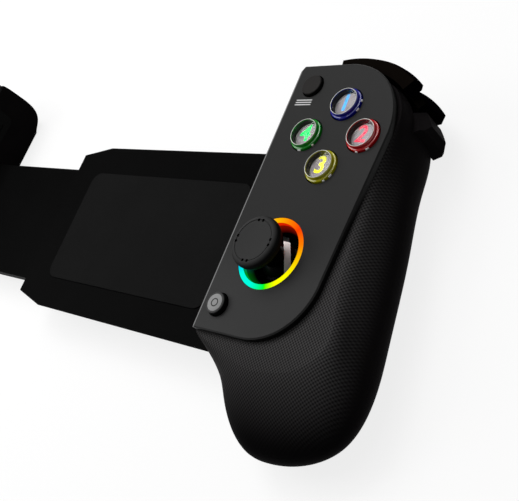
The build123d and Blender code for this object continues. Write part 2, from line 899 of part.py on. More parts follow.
trigger_top = pocket_high - clearance
trigger_lip_drop = 7.7
trigger_tip_drop = 9.5
trigger_outer = 30.6
trigger_lip_outer = 32.6
trigger_hollow = 0.5
trigger_tip_inset = 2.2
trigger_wall = 2.2
trigger_hub_radius = 2.4
trigger_hub_start = -9.0
trigger_hub_end = 3.9
trigger_web = 1.8


def trigger():
    start_angle = trigger_mid_angle - trigger_sweep / 2
    lip = trigger_top - trigger_lip_drop
    tip = trigger_top - trigger_tip_drop
    blade_inner = trigger_outer - trigger_wall
    with BuildPart() as lever:
        with BuildSketch(corner_plane(start_angle)):
            with BuildLine():
                front = ThreePointArc(
                    (trigger_outer, trigger_top),
                    ((trigger_outer + trigger_lip_outer) / 2 - trigger_hollow, (trigger_top + lip) / 2),
                    (trigger_lip_outer, lip),
                )
                Polyline(
                    front @ 1, (trigger_lip_outer - trigger_tip_inset, tip),
                    (blade_inner + trigger_hollow, (lip + tip) / 2),
                    (blade_inner, trigger_top), front @ 0,
                )
            make_face()
        revolve(axis=corner_axis, revolution_arc=trigger_sweep)
        with BuildSketch(trigger_plane(trigger_hub_start)):
            with Locations((trigger_pin_reach, trigger_pin_height)):
                Circle(trigger_hub_radius)
        extrude(amount=-(trigger_hub_end - trigger_hub_start))
        for offset in (trigger_hub_start, -trigger_hub_start - trigger_web):
            with BuildSketch(trigger_plane(offset)):
                with Locations((trigger_pin_reach, trigger_pin_height)):
                    Circle(trigger_hub_radius)
                with BuildLine():
                    Polyline(
                        (trigger_pin_reach, trigger_pin_height + trigger_hub_radius),
                        (blade_inner + trigger_hollow, trigger_top - trigger_hollow),
                        (blade_inner + trigger_hollow, lip),
                        (trigger_pin_reach, trigger_pin_height - trigger_hub_radius),
                        (trigger_pin_reach, trigger_pin_height + trigger_hub_radius),
                    )
                make_face()
            extrude(amount=-trigger_web)
        add(trigger_pin_bore(trigger_pin_radius + running_fit), mode=Mode.SUBTRACT)
    return lever.part


def trigger_pin():
    return trigger_pin_bore(trigger_pin_radius)


spring_start = 4.2
spring_length = 2.7
spring_inner_radius = 1.35
spring_wire = 0.6


def trigger_spring():
    with BuildPart() as spring:
        with BuildSketch(trigger_plane(spring_start)):
            with Locations((trigger_pin_reach, trigger_pin_height)):
                Circle(spring_inner_radius + spring_wire)
                Circle(spring_inner_radius, mode=Mode.SUBTRACT)
        extrude(amount=-spring_length)
    return spring.part


def shell_screws():
    with BuildPart() as screws:
        for place in screw_places:
            with BuildSketch(Plane.XY.offset(screw_seat_height - screw_head_height)):
                with Locations(place):
                    Circle(screw_head_radius)
            extrude(amount=screw_head_height)
            with BuildSketch(Plane.XY.offset(screw_seat_height)):
                with Locations(place):
                    Circle(screw_shank_radius)
            extrude(amount=screw_tip_height - screw_seat_height)
    return screws.part


# Right grip

ring_seat_gap = 0.12
stick_hole = ring_outer_radius + ring_seat_gap
right_holes = [(low_place[0], low_place[1], stick_hole)]
right_holes += [(x, y, face_button_radius + clearance) for name, (x, y) in face_places]
right_holes += [(menu_place[0], menu_place[1], menu_button_radius + clearance)]
right_holes += [(system_place[0], system_place[1], system_button_radius + clearance)]

right_front, right_back = grip_shells(right_holes, with_pad=False, with_port=True)
write(right_front, "right_front_shell")
write(right_back, "right_back_shell")
write(faceplate(right_holes, with_pad=False), "right_faceplate")
write(light_ring(low_place), "right_light_ring")
write(clamp_pad(), "right_clamp_pad")
write(board(), "right_board")
right_domes = [place for name, place in face_places] + [menu_place, system_place]
write(button_mat(right_domes, high_place, system_place[1]), "right_button_mat")
write(shell_screws(), "right_shell_screws")

for name, place in face_places:
    write(face_core(place), f"{name}_button")
    write(face_lens(place), f"{name}_button_lens")
write(round_button(menu_place, menu_button_radius, menu_button_rise), "start_button")
write(round_button(system_place, system_button_radius, system_button_rise), "home_button")

write(stick_module(low_place), "right_stick_module")
write(stick_yoke(low_place), "right_stick_yoke")
write(stick_rocker(low_place), "right_stick_rocker")
write(stick_stem(low_place), "right_stick_stem")
write(stick_cap(low_place), "right_stick_cap")

write(bumper(), "right_bumper")
write(bumper_pin(), "right_bumper_pin")
write(trigger(), "right_trigger")
write(trigger_pin(), "right_trigger_pin")
write(trigger_spring(), "right_trigger_spring")

with BuildPart() as battery:
    with BuildSketch(Plane.XY.offset(battery_low)):
        with Locations(battery_place):
            RectangleRounded(battery_length, battery_width, battery_corner)
    extrude(amount=battery_thickness)
    fillet(battery.edges().group_by(Axis.Z)[-1], battery_edge)
write(battery.part, "battery")

with BuildPart() as charge_port:
    with BuildSketch(Plane.XZ.offset(-shell_high_y + port_inset)):
        with Locations((port_x, port_z)):
            RectangleRounded(port_width, port_height, round_share * port_height)
    extrude(amount=port_depth - 2 * overrun)
    with BuildSketch(Plane.XZ.offset(-shell_high_y + port_inset)):
        with Locations((port_x, port_z)):
            RectangleRounded(
                port_width - 2 * port_wall, port_height - 2 * port_wall,
                round_share * (port_height - 2 * port_wall),
            )
    extrude(amount=port_depth - 3 * overrun, mode=Mode.SUBTRACT)
    with Locations((port_x, shell_high_y - port_inset - port_depth / 2, port_z)):
        Box(port_tongue_width, port_depth - 2 * overrun, port_tongue_height)
write(charge_port.part, "charge_port")


# Left grip, modelled on the right and mirrored

left_holes = [(high_place[0], high_place[1], stick_hole)]
left_holes += [(menu_place[0], menu_place[1], menu_button_radius + clearance)]
left_holes += [(system_place[0], system_place[1], system_button_radius + clearance)]
left_front, left_back = grip_shells(left_holes, with_pad=True, with_port=False)
write_mirrored(left_front, "left_front_shell")
write_mirrored(left_back, "left_back_shell")
write_mirrored(faceplate(left_holes, with_pad=True), "left_faceplate")
write_mirrored(light_ring(high_place), "left_light_ring")
write_mirrored(clamp_pad(), "left_clamp_pad")
write_mirrored(board(), "left_board")
write_mirrored(button_mat([menu_place, system_place], None, system_place[1]), "left_button_mat")
write_mirrored(shell_screws(), "left_shell_screws")
write_mirrored(round_button(menu_place, menu_button_radius, menu_button_rise), "select_button")
write_mirrored(round_button(system_place, system_button_radius, system_button_rise), "capture_button")
write_mirrored(direction_pad(), "direction_pad")
write_mirrored(pad_pivot(), "direction_pad_pivot")
write_mirrored(stick_module(high_place), "left_stick_module")
write_mirrored(stick_yoke(high_place), "left_stick_yoke")
write_mirrored(stick_rocker(high_place), "left_stick_rocker")
write_mirrored(stick_stem(high_place), "left_stick_stem")
write_mirrored(stick_cap(high_place), "left_stick_cap")
write_mirrored(bumper(), "left_bumper")
write_mirrored(bumper_pin(), "left_bumper_pin")
write_mirrored(trigger(), "left_trigger")
write_mirrored(trigger_pin(), "left_trigger_pin")
write_mirrored(trigger_spring(), "left_trigger_spring")


# Telescopic bridge

channel_low = bridge_back + bridge_wall
channel_high = bridge_front - bridge_wall
tongue_low = channel_low + clearance
tongue_high = channel_high - clearance
channel_half = tongue_width / 2 + clearance
channel_end_x = inner_x - 4.0
bridge_screw_inset = 5.5
bridge_screw_places = (
    (bridge_left_x + 10.9, bridge_low_y + bridge_screw_inset),
    (bridge_left_x + 10.9, bridge_high_y - bridge_screw_inset),
    (inner_x - 7.0, bridge_low_y + bridge_screw_inset),
    (inner_x - 7.0, bridge_high_y - bridge_screw_inset),
)
rest_length = 78.0
rest_width = 40.0
rest_thickness = 0.6
rest_corner = 4.0
rest_mid_x = (bridge_left_x + inner_x) / 2
spring_y = (-16.0, 12.0)
spring_post_x = inner_x - 5.8
spring_post_radius = 1.1
tongue_anchor_x = -24.0
spring_radius = 1.2
spring_axis_height = channel_low + 2.1


def bridge_outline(inset):
    left = bridge_left_x + inset
    low = bridge_low_y + inset
    high = bridge_high_y - inset
    with BuildSketch() as outline:
        with BuildLine():
            Polyline(
                (inner_x, low), (left + bridge_corner_length, low), (left, low + bridge_corner_depth),
                (left, high - bridge_corner_depth), (left + bridge_corner_length, high),
                (inner_x, high), (inner_x, low),
            )
        make_face()
    return outline.sketch


def bridge_slab(low, high):
    with BuildPart() as slab:
        for height in (low, high):
            with BuildSketch(Plane.XY.offset(height)):
                add(bridge_outline(bridge_draft * (bridge_front - height)))
        loft(ruled=True)
    return slab.part


def bridge_channel():
    with BuildPart() as channel:
        with BuildSketch(Plane.XY.offset(channel_low)):
            length = channel_end_x - bridge_left_x + overrun
            with Locations((channel_end_x - length / 2, bridge_mid_y)):
                Rectangle(length, 2 * channel_half)
        extrude(amount=channel_high - channel_low)
    return channel.part


edge_chamfer = 0.8
bridge_screw_head = 2.0
bridge_screw_head_inset = 0.4
bridge_screw_head_height = 1.2
bridge_screw_seat = bridge_back + bridge_screw_head_inset + bridge_screw_head_height
bridge_screw_shank = 0.9
bridge_screw_bite = 2.1

with BuildPart() as bridge_front_cover:
    add(bridge_slab(bridge_split, bridge_front))
    chamfer(
        bridge_front_cover.faces().sort_by(Axis.Z)[-1].edges().sort_by(Axis.X)[:-1], edge_chamfer / 2,
    )
    add(bridge_channel(), mode=Mode.SUBTRACT)
    with BuildSketch(Plane.XY.offset(bridge_front - rest_thickness / 2)):
        with Locations((rest_mid_x, bridge_mid_y)):
            RectangleRounded(rest_length + clearance, rest_width + clearance, rest_corner)
    extrude(amount=rest_thickness, mode=Mode.SUBTRACT)
    with BuildSketch(Plane.XY.offset(bridge_split)):
        with Locations(bridge_screw_places):
            Circle(bridge_screw_shank + running_fit)
    extrude(amount=bridge_screw_bite + clearance, mode=Mode.SUBTRACT)
write(bridge_front_cover.part, "bridge_front_cover")

with BuildPart() as bridge_back_cover:
    add(bridge_slab(bridge_back, bridge_split))
    chamfer(
        bridge_back_cover.faces().sort_by(Axis.Z)[0].edges().sort_by(Axis.X)[:-1], edge_chamfer,
    )
    add(bridge_channel(), mode=Mode.SUBTRACT)
    with BuildSketch(Plane.XY.offset(channel_low - bridge_wall / 2)):
        with Locations([(spring_post_x, bridge_mid_y + y) for y in spring_y]):
            Circle(spring_post_radius)
    extrude(amount=tongue_high - channel_low)
    with BuildSketch(Plane.XY.offset(bridge_back - overrun)):
        with Locations(bridge_screw_places):
            Circle(bridge_screw_head + clearance)
    extrude(amount=bridge_screw_seat - bridge_back + overrun, mode=Mode.SUBTRACT)
    with BuildSketch(Plane.XY.offset(bridge_back)):
        with Locations(bridge_screw_places):
            Circle(bridge_screw_shank + running_fit)
    extrude(amount=bridge_split, mode=Mode.SUBTRACT)
write(bridge_back_cover.part, "bridge_back_cover")

with BuildPart() as bridge_screws:
    with BuildSketch(Plane.XY.offset(bridge_back + bridge_screw_head_inset)):
        with Locations(bridge_screw_places):
            Circle(bridge_screw_head)
    extrude(amount=bridge_screw_head_height)
    with BuildSketch(Plane.XY.offset(bridge_screw_seat)):
        with Locations(bridge_screw_places):
            Circle(bridge_screw_shank)
    extrude(amount=bridge_split + bridge_screw_bite - bridge_screw_seat)
write(bridge_screws.part, "bridge_screws")

with BuildPart() as phone_rest:
    with BuildSketch(Plane.XY.offset(bridge_front - rest_thickness / 2)):
        with Locations((rest_mid_x, bridge_mid_y)):
            RectangleRounded(rest_length, rest_width, rest_corner)
    extrude(amount=rest_thickness)
    fillet(phone_rest.faces().sort_by(Axis.Z)[-1].edges(), rest_thickness / 4)
write(phone_rest.part, "phone_rest")

tongue_left_x = -inner_x
tongue_mid_x = tongue_left_x + tongue_length / 2
tongue_top_wall = 1.6
tongue_chamfer = 0.5
spring_channel_width = 4.0
anchor_margin = 5.0
anchor_gap = 0.5
cable_channel_width = 8.0
cable_y = bridge_mid_y - 2.0
cable_height = tongue_low + 1.6

with BuildPart() as tongue:
    with BuildSketch(Plane.XY.offset(tongue_low)):
        with Locations((tongue_mid_x, bridge_mid_y)):
            Rectangle(tongue_length, tongue_width)
    extrude(amount=tongue_high - tongue_low)
    chamfer(tongue.edges().filter_by(Axis.X), tongue_chamfer)
    for y in spring_y:
        with BuildSketch(Plane.XY.offset(tongue_low - overrun)):
            channel_length = tongue_left_x + tongue_length - tongue_anchor_x + anchor_margin
            with Locations((tongue_left_x + tongue_length - channel_length / 2, bridge_mid_y + y)):
                Rectangle(channel_length, spring_channel_width)
        extrude(amount=tongue_high - tongue_low + overrun - tongue_top_wall, mode=Mode.SUBTRACT)
        with BuildSketch(Plane.XY.offset(tongue_low + anchor_gap)):
            with Locations((tongue_anchor_x, bridge_mid_y + y)):
                Circle(spring_post_radius)
        extrude(amount=tongue_high - tongue_low - 2 * anchor_gap)
    with BuildSketch(Plane.XY.offset(tongue_low - overrun)):
        with Locations((tongue_mid_x, cable_y)):
            Rectangle(tongue_length, cable_channel_width)
    extrude(amount=tongue_high - tongue_low + overrun - tongue_top_wall, mode=Mode.SUBTRACT)
write(tongue.part, "bridge_tongue")

with BuildPart() as return_springs:
    for y in spring_y:
        with BuildSketch(Plane.YZ.offset(tongue_anchor_x + spring_post_radius + clearance)):
            with Locations((bridge_mid_y + y, spring_axis_height)):
                Circle(spring_radius)
        extrude(amount=spring_post_x - tongue_anchor_x - 2 * spring_post_radius - 2 * clearance)
write(return_springs.part, "return_springs")

cable_width = 6.0
cable_thickness = 0.4
with BuildPart() as link_cable:
    with BuildSketch(Plane.YZ.offset(-inner_x + clearance)):
        with Locations((cable_y, cable_height)):
            Rectangle(cable_width, cable_thickness)
    extrude(amount=inner_x + channel_end_x - 2 * clearance)
write(link_cable.part, "link_cable")
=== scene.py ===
import math
import bmesh
import bpy
from mathutils import Matrix, Quaternion, Vector


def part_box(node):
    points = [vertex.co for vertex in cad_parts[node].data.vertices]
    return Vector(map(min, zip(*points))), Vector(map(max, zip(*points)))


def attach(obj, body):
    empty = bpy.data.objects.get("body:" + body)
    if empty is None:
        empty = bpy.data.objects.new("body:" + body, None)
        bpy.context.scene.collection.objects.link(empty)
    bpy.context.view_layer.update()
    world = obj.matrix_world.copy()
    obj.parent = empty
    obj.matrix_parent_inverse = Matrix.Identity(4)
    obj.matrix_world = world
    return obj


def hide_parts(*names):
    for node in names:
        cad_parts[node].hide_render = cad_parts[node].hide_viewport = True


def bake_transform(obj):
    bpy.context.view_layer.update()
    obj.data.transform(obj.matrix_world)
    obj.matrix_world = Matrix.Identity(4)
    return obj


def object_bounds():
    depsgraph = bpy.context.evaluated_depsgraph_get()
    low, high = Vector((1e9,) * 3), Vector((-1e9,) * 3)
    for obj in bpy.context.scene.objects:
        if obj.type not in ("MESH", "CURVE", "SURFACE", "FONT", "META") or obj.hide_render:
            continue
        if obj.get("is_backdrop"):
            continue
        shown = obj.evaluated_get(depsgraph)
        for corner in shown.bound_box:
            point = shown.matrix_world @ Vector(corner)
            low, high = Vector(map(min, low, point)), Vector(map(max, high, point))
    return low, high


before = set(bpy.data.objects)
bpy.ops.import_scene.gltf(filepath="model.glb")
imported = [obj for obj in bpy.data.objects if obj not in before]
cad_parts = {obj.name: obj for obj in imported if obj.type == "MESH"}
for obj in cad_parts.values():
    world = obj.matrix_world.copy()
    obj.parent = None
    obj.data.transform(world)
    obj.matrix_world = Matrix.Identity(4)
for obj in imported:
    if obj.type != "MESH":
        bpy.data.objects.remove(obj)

cad_low, cad_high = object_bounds()

MM = 0.001
MERGE_DISTANCE = 0.000001
SIDES = ("right", "left")
KEYS = ("top", "right", "bottom", "left")


# Node graphs

def srgb(red, green, blue):
    """A colour as it looks on screen, 0 to 255, turned into the linear values that a shader takes."""
    shades = []
    for value in (red, green, blue):
        share = value / 255
        shades.append(share / 12.92 if share <= 0.04045 else ((share + 0.055) / 1.055) ** 2.4)
    return (*shades, 1.0)


def grey(value):
    return srgb(value, value, value)


def scaled(colour, share):
    return (colour[0] * share, colour[1] * share, colour[2] * share, 1.0)


def add_node(material, kind, inputs=None, **settings):
    tree = material.node_tree
    made = tree.nodes.new(kind)
    for key, value in settings.items():
        setattr(made, key, value)
    for key, value in (inputs or {}).items():
        if isinstance(value, bpy.types.NodeSocket):
            tree.links.new(value, made.inputs[key])
        else:
            made.inputs[key].default_value = value
    return made


def math_node(material, operation, first, second=0.0):
    return add_node(material, "ShaderNodeMath", {0: first, 1: second}, operation=operation).outputs[0]


def empty_material(name):
    material = bpy.data.materials.new(name)
    material.use_nodes = True
    return material, material.node_tree.nodes["Principled BSDF"]


def set_shader(shader, **values):
    for key, value in values.items():
        shader.inputs[key.replace("_", " ")].default_value = value


def place_of(material):
    return add_node(material, "ShaderNodeTexCoord").outputs["Object"]


def normal_of(material):
    return add_node(material, "ShaderNodeTexCoord").outputs["Normal"]


NOISE_ROUGHNESS = 0.55
NOISE_MIDDLE = (0.3, 0.7)


def noise_of(material, place, size_mm, detail=3.0):
    made = add_node(material, "ShaderNodeTexNoise", {
        "Vector": place, "Scale": 1 / (size_mm * MM), "Detail": detail, "Roughness": NOISE_ROUGHNESS,
    })
    return made.outputs["Fac"]


def spread(material, source, low, high):
    """Maps the middle of a noise to low..high."""
    made = add_node(material, "ShaderNodeMapRange", {
        "Value": source, "From Min": NOISE_MIDDLE[0], "From Max": NOISE_MIDDLE[1],
        "To Min": low, "To Max": high,
    })
    return made.outputs["Result"]


def mixed_colour(material, share, first, second):
    made = add_node(material, "ShaderNodeMix", data_type="RGBA")
    tree = material.node_tree
    tree.links.new(share, made.inputs[0])
    for socket, value in ((made.inputs[6], first), (made.inputs[7], second)):
        if isinstance(value, bpy.types.NodeSocket):
            tree.links.new(value, socket)
        else:
            socket.default_value = value
    return made.outputs[2]


def bump(material, height, depth_mm, normal=None):
    inputs = {"Height": height, "Distance": depth_mm * MM, "Strength": 1.0}
    if normal is not None:
        inputs["Normal"] = normal
    return add_node(material, "ShaderNodeBump", inputs).outputs["Normal"]


def ramp_between(material, value, low, high):
    made = add_node(material, "ShaderNodeMapRange", {
        "Value": value, "From Min": low, "From Max": high,
    }, interpolation_type="SMOOTHSTEP")
    return made.outputs["Result"]


BROAD_MM = 14.0
GLOSS_SPREAD = 0.05
EDGE_HIGHLIGHT_FACING = 0.4


def moulded(
    name, colour, roughness=0.5, specular=0.5, grain_mm=0.25, grain_depth=0.006, colour_spread=0.12,
    side_painted_shade=None, facing=(0.35, 0.85), painted_top_shade=None, painted_edge_highlight=None, glow=None,
):
    """Moulded plastic: fine grain and slight unevenness of colour and gloss.

    Faces that turn away from the front take a painted shade, the top of the object takes a painted shade over
    a span (start, end, colour), and a strip along the inner edge takes a painted highlight (reach, colour). A
    glow is
    painted light: the part is self-lit though it is no lamp.
    """
    material, shader = empty_material(name)
    links = material.node_tree.links
    place = place_of(material)
    axes = add_node(material, "ShaderNodeSeparateXYZ", {"Vector": place})
    turned = add_node(material, "ShaderNodeSeparateXYZ", {"Vector": normal_of(material)})
    broad = noise_of(material, place, BROAD_MM)
    fine = noise_of(material, place, grain_mm, detail=2.0)
    share = spread(material, broad, 0.0, 1.0)
    pale = scaled(colour, 1 + colour_spread)
    deep = scaled(colour, 1 - colour_spread)
    shades = mixed_colour(material, share, deep, pale)
    # Painted shade: the colour turns toward a darker one near the top of the object
    if painted_top_shade is not None:
        along = ramp_between(material, axes.outputs["Y"], painted_top_shade[0] * MM, painted_top_shade[1] * MM)
        shades = mixed_colour(material, along, shades, painted_top_shade[2])
    # Painted shade on faces that turn away from the front
    if side_painted_shade is not None:
        front = add_node(material, "ShaderNodeMapRange", {
            "Value": turned.outputs["Z"], "From Min": facing[0], "From Max": facing[1],
        })
        shades = mixed_colour(material, front.outputs["Result"], side_painted_shade, shades)
    # Painted highlight: a pale strip along the inner edge
    if painted_edge_highlight is not None:
        reach = math_node(material, "ABSOLUTE", axes.outputs["X"])
        near = math_node(material, "LESS_THAN", reach, painted_edge_highlight[0] * MM)
        raised = math_node(material, "GREATER_THAN", turned.outputs["Z"], EDGE_HIGHLIGHT_FACING)
        shades = mixed_colour(material, math_node(material, "MULTIPLY", near, raised), shades, painted_edge_highlight[1])
    links.new(shades, shader.inputs["Base Color"])
    links.new(
        spread(material, fine, roughness - GLOSS_SPREAD, roughness + GLOSS_SPREAD),
        shader.inputs["Roughness"],
    )
    links.new(bump(material, fine, grain_depth), shader.inputs["Normal"])
    set_shader(shader, Specular_IOR_Level=specular)
    # Painted light: a glow, self-lit though the part is no lamp
    if glow is not None:
        links.new(shades, shader.inputs["Emission Color"])
        set_shader(shader, Emission_Strength=glow)
    return material


def dot_height(material, place, dots):
    """Height 0 to 1 of raised dots on a lattice turned in plan."""
    turned = add_node(material, "ShaderNodeMapping", {"Vector": place, "Rotation": (0, 0, dots["turn"])})
    axes = add_node(material, "ShaderNodeSeparateXYZ", {"Vector": turned.outputs["Vector"]})
    total = None
    for axis in ("X", "Y"):
        wave = math_node(material, "MULTIPLY", axes.outputs[axis], math.tau / (dots["pitch"] * MM))
        wave = math_node(material, "COSINE", wave)
        total = wave if total is None else math_node(material, "ADD", total, wave)
    height = math_node(material, "MULTIPLY", total, 0.25)
    return math_node(material, "ADD", height, 0.5)


RUBBER_BROAD_MM = 12.0
RUBBER_GRAIN_MM = 0.3
RUBBER_GRAIN_DEPTH = 0.002
RUBBER_SPREAD = 0.15


def dotted_rubber(name, smooth, end, valley, dot, dots, roughness, specular):
    """Grip rubber: grey dots where it faces forward, smooth black on the sides and near black at the end.

    The dots are the rubber's texture; their paler grey where the grip faces forward is painted light, and
    their fading toward the sides, the low end and the top, like the near black of the end, is painted shade.
    """
    material, shader = empty_material(name)
    links = material.node_tree.links
    place = place_of(material)
    axes = add_node(material, "ShaderNodeSeparateXYZ", {"Vector": place})
    turned = add_node(material, "ShaderNodeSeparateXYZ", {"Vector": normal_of(material)})
    along = ramp_between(material, axes.outputs["Y"], dots["low_y"] * MM, dots["full_y"] * MM)
    facing = ramp_between(material, turned.outputs["Z"], dots["low_z"], dots["full_z"])
    above = ramp_between(material, axes.outputs["Y"], dots["end_y"] * MM, dots["top_y"] * MM)
    # Where the dots show with painted light: facing forward, away from the low end and the top
    dot_zone_and_painted_light = math_node(material, "MULTIPLY", along, facing)
    dot_zone_and_painted_light = math_node(material, "MULTIPLY", dot_zone_and_painted_light, above)
    height = dot_height(material, place, dots)
    broad = noise_of(material, place, RUBBER_BROAD_MM)
    fine = noise_of(material, place, RUBBER_GRAIN_MM, detail=2.0)
    spots = mixed_colour(material, height, valley, dot)
    worn = spread(material, broad, 0.0, 1.0)
    deep = scaled(smooth, 1 - RUBBER_SPREAD)
    pale = scaled(smooth, 1 + RUBBER_SPREAD)
    plain = mixed_colour(material, worn, deep, pale)
    # Painted shade: the plain rubber darkens toward the low end
    plain = mixed_colour(material, along, end, plain)
    links.new(mixed_colour(material, dot_zone_and_painted_light, plain, spots), shader.inputs["Base Color"])
    gloss = spread(material, fine, roughness - GLOSS_SPREAD, roughness + GLOSS_SPREAD)
    links.new(gloss, shader.inputs["Roughness"])
    lifted = math_node(material, "MULTIPLY", height, dot_zone_and_painted_light)
    normal = bump(material, fine, RUBBER_GRAIN_DEPTH)
    links.new(bump(material, lifted, dots["depth"], normal=normal), shader.inputs["Normal"])
    set_shader(shader, Specular_IOR_Level=specular)
    return material


# Materials

# Dot lattice, and the spans in y and in facing over which the dots and their painted light fade
GRIP_DOTS = {
    "pitch": 0.66, "depth": 0.06, "turn": math.radians(45), "low_y": -55.0, "full_y": -26.0,
    "top_y": 18.0, "end_y": 34.0, "low_z": 0.15, "full_z": 0.92,
}

# The end colour is painted shade, and the grey dots carry painted light where the grip faces forward
shell_black = dotted_rubber(
    "shell_black", smooth=srgb(24, 22, 23), end=srgb(6, 5, 6), valley=srgb(22, 21, 22), dot=srgb(74, 73, 73),
    dots=GRIP_DOTS, roughness=0.55, specular=0.004,
)
# Painted shade on the plate's side walls and toward its top, and a painted highlight along its inner edge
plate_grey = moulded(
    "plate_grey", grey(45), roughness=0.5, specular=0.1, grain_mm=0.18, grain_depth=0.002,
    colour_spread=0.04, side_painted_shade=grey(7), facing=(0.3, 0.6), painted_top_shade=(-18, 4, grey(29)),
    painted_edge_highlight=(83.7, grey(125)),
)
# Painted shade: the sides of these buttons take a near-black side colour
button_black = moulded(
    "button_black", srgb(34, 32, 31), roughness=0.5, specular=0.06, grain_depth=0.003, side_painted_shade=grey(5),
)
button_grey = moulded(
    "button_grey", grey(62), roughness=0.5, specular=0.06, grain_depth=0.003, side_painted_shade=grey(5),
    facing=(0.4, 0.9),
)
# Painted shade: the sides of the bumpers and triggers take a near-black side colour
gloss_black = moulded(
    "gloss_black", srgb(13, 10, 8), roughness=0.55, specular=0.0, grain_mm=1.2, grain_depth=0.001,
    side_painted_shade=srgb(4, 3, 6),
)
bridge_black = moulded("bridge_black", grey(5), roughness=0.5, specular=0.01, grain_depth=0.003)
soft_black = moulded(
    "soft_black", grey(13), roughness=0.72, specular=0.04, grain_mm=0.35, grain_depth=0.012,
)
# Painted shade: the cap's sides fade to near black
cap_black = moulded(
    "cap_black", grey(52), roughness=0.6, specular=0.05, grain_mm=0.2, grain_depth=0.004, colour_spread=0.04,
    side_painted_shade=grey(5), facing=(0.45, 0.97),
)


WELL_GRAIN_MM = 2.0
WELL_SHADE = 0.7
WELL_ROUGHNESS = (0.25, 0.35)


def well_with_painted_reflection(name, colour, pale, across, axis, middle):
    """Black of the stick's stem, yoke and module, with one narrow pale stripe painted across them.

    The stripe is a painted reflection, standing for a pale bar in the photograph. The stripe
    stands for a pale bar in the photograph, which may be a reflection.
    """
    material, shader = empty_material(name)
    links = material.node_tree.links
    place = place_of(material)
    axes = add_node(material, "ShaderNodeSeparateXYZ", {"Vector": place})
    outward = math_node(material, "ABSOLUTE", axes.outputs["X"])
    folded = add_node(material, "ShaderNodeCombineXYZ", {
        "X": outward, "Y": axes.outputs["Y"], "Z": axes.outputs["Z"],
    })
    offset = add_node(material, "ShaderNodeVectorMath", {
        0: folded.outputs["Vector"], 1: middle,
    }, operation="SUBTRACT")
    reach = add_node(material, "ShaderNodeVectorMath", {
        0: offset.outputs["Vector"], 1: axis,
    }, operation="DOT_PRODUCT").outputs["Value"]
    above = math_node(material, "GREATER_THAN", reach, across[0] * MM)
    below = math_node(material, "LESS_THAN", reach, across[1] * MM)
    fine = noise_of(material, place, WELL_GRAIN_MM)
    black = mixed_colour(material, fine, scaled(colour, WELL_SHADE), colour)
    # Painted reflection: pale where the point lies between the two bounds across the axis
    stripe = math_node(material, "MULTIPLY", above, below)
    links.new(mixed_colour(material, stripe, black, pale), shader.inputs["Base Color"])
    links.new(spread(material, fine, *WELL_ROUGHNESS), shader.inputs["Roughness"])
    set_shader(shader, Specular_IOR_Level=0.05)
    return material


# Painted reflection: where the pale stripe lies across the stick's well
# The right-hand direction of the photograph's camera, so the stripe is set by that view
WELL_STRIPE_AXIS = (0.7188, 0.3721, -0.5873)
WELL_STRIPE_ACROSS = (-1.55, 0.1)
WELL_STRIPE_MIDDLE = (0.099, -0.0066, 0.016)

well_black_and_painted_reflection = well_with_painted_reflection(
    "well_black_and_painted_reflection", grey(4), srgb(250, 252, 250), WELL_STRIPE_ACROSS, WELL_STRIPE_AXIS, WELL_STRIPE_MIDDLE,
)
inner_white = moulded("inner_white", grey(205), roughness=0.5, grain_mm=0.3)
board_green = moulded("board_green", srgb(18, 74, 40), roughness=0.35, grain_mm=1.1, grain_depth=0.01)
cell_silver = moulded("cell_silver", srgb(150, 152, 156), roughness=0.3, grain_mm=2.4, grain_depth=0.02)
ribbon_amber = moulded("ribbon_amber", srgb(176, 104, 32), roughness=0.35, grain_mm=0.9)


METAL_GLOSS = (0.8, 1.25)
METAL_SHADE = 0.88
METAL_GRAIN_DEPTH = 0.004


def metal(name, colour, roughness, grain_mm):
    material, shader = empty_material(name)
    links = material.node_tree.links
    place = place_of(material)
    fine = noise_of(material, place, grain_mm, detail=4.0)
    gloss = spread(material, fine, roughness * METAL_GLOSS[0], roughness * METAL_GLOSS[1])
    links.new(gloss, shader.inputs["Roughness"])
    shades = mixed_colour(material, fine, scaled(colour, METAL_SHADE), colour)
    links.new(shades, shader.inputs["Base Color"])
    links.new(bump(material, fine, METAL_GRAIN_DEPTH), shader.inputs["Normal"])
    set_shader(shader, Metallic=1.0)
    return material


steel = metal("steel", srgb(176, 178, 182), roughness=0.3, grain_mm=0.4)
dark_steel = metal("dark_steel", srgb(34, 34, 36), roughness=0.45, grain_mm=0.4)
rim_white = moulded("rim_white", srgb(226, 226, 220), roughness=0.25, specular=0.5, grain_mm=0.8)


ACRYLIC_GRAIN_MM = 1.6
ACRYLIC_SHADE = 0.7
ACRYLIC_ROUGHNESS = (0.06, 0.12)
COVER_GRAIN_MM = 2.0
COVER_ROUGHNESS = (0.0, 0.03)


def coloured_acrylic(name, colour):
    """Glossy coloured plastic of a key's body."""
    material, shader = empty_material(name)
    links = material.node_tree.links
    place = place_of(material)
    fine = noise_of(material, place, ACRYLIC_GRAIN_MM)
    deep = scaled(colour, ACRYLIC_SHADE)
    links.new(mixed_colour(material, fine, deep, colour), shader.inputs["Base Color"])
    links.new(spread(material, fine, *ACRYLIC_ROUGHNESS), shader.inputs["Roughness"])
    set_shader(shader, Specular_IOR_Level=0.4, Coat_Weight=0.4, Coat_Roughness=0.03)
    return material


def clear_acrylic(name):
    material, shader = empty_material(name)
    links = material.node_tree.links
    fine = noise_of(material, place_of(material), COVER_GRAIN_MM)
    links.new(spread(material, fine, *COVER_ROUGHNESS), shader.inputs["Roughness"])
    links.new(mixed_colour(material, fine, grey(250), grey(255)), shader.inputs["Base Color"])
    set_shader(shader, Transmission_Weight=1.0, IOR=1.15)
    return material


clear_lens = clear_acrylic("clear_lens")


def ink(name, shade):
    return moulded(name, grey(shade), roughness=0.5, specular=0.1, grain_mm=0.2, grain_depth=0.002)


disc_grey = ink("disc_grey", 142)
disc_mark = ink("disc_mark", 52)
print_white = ink("print_white", 205)
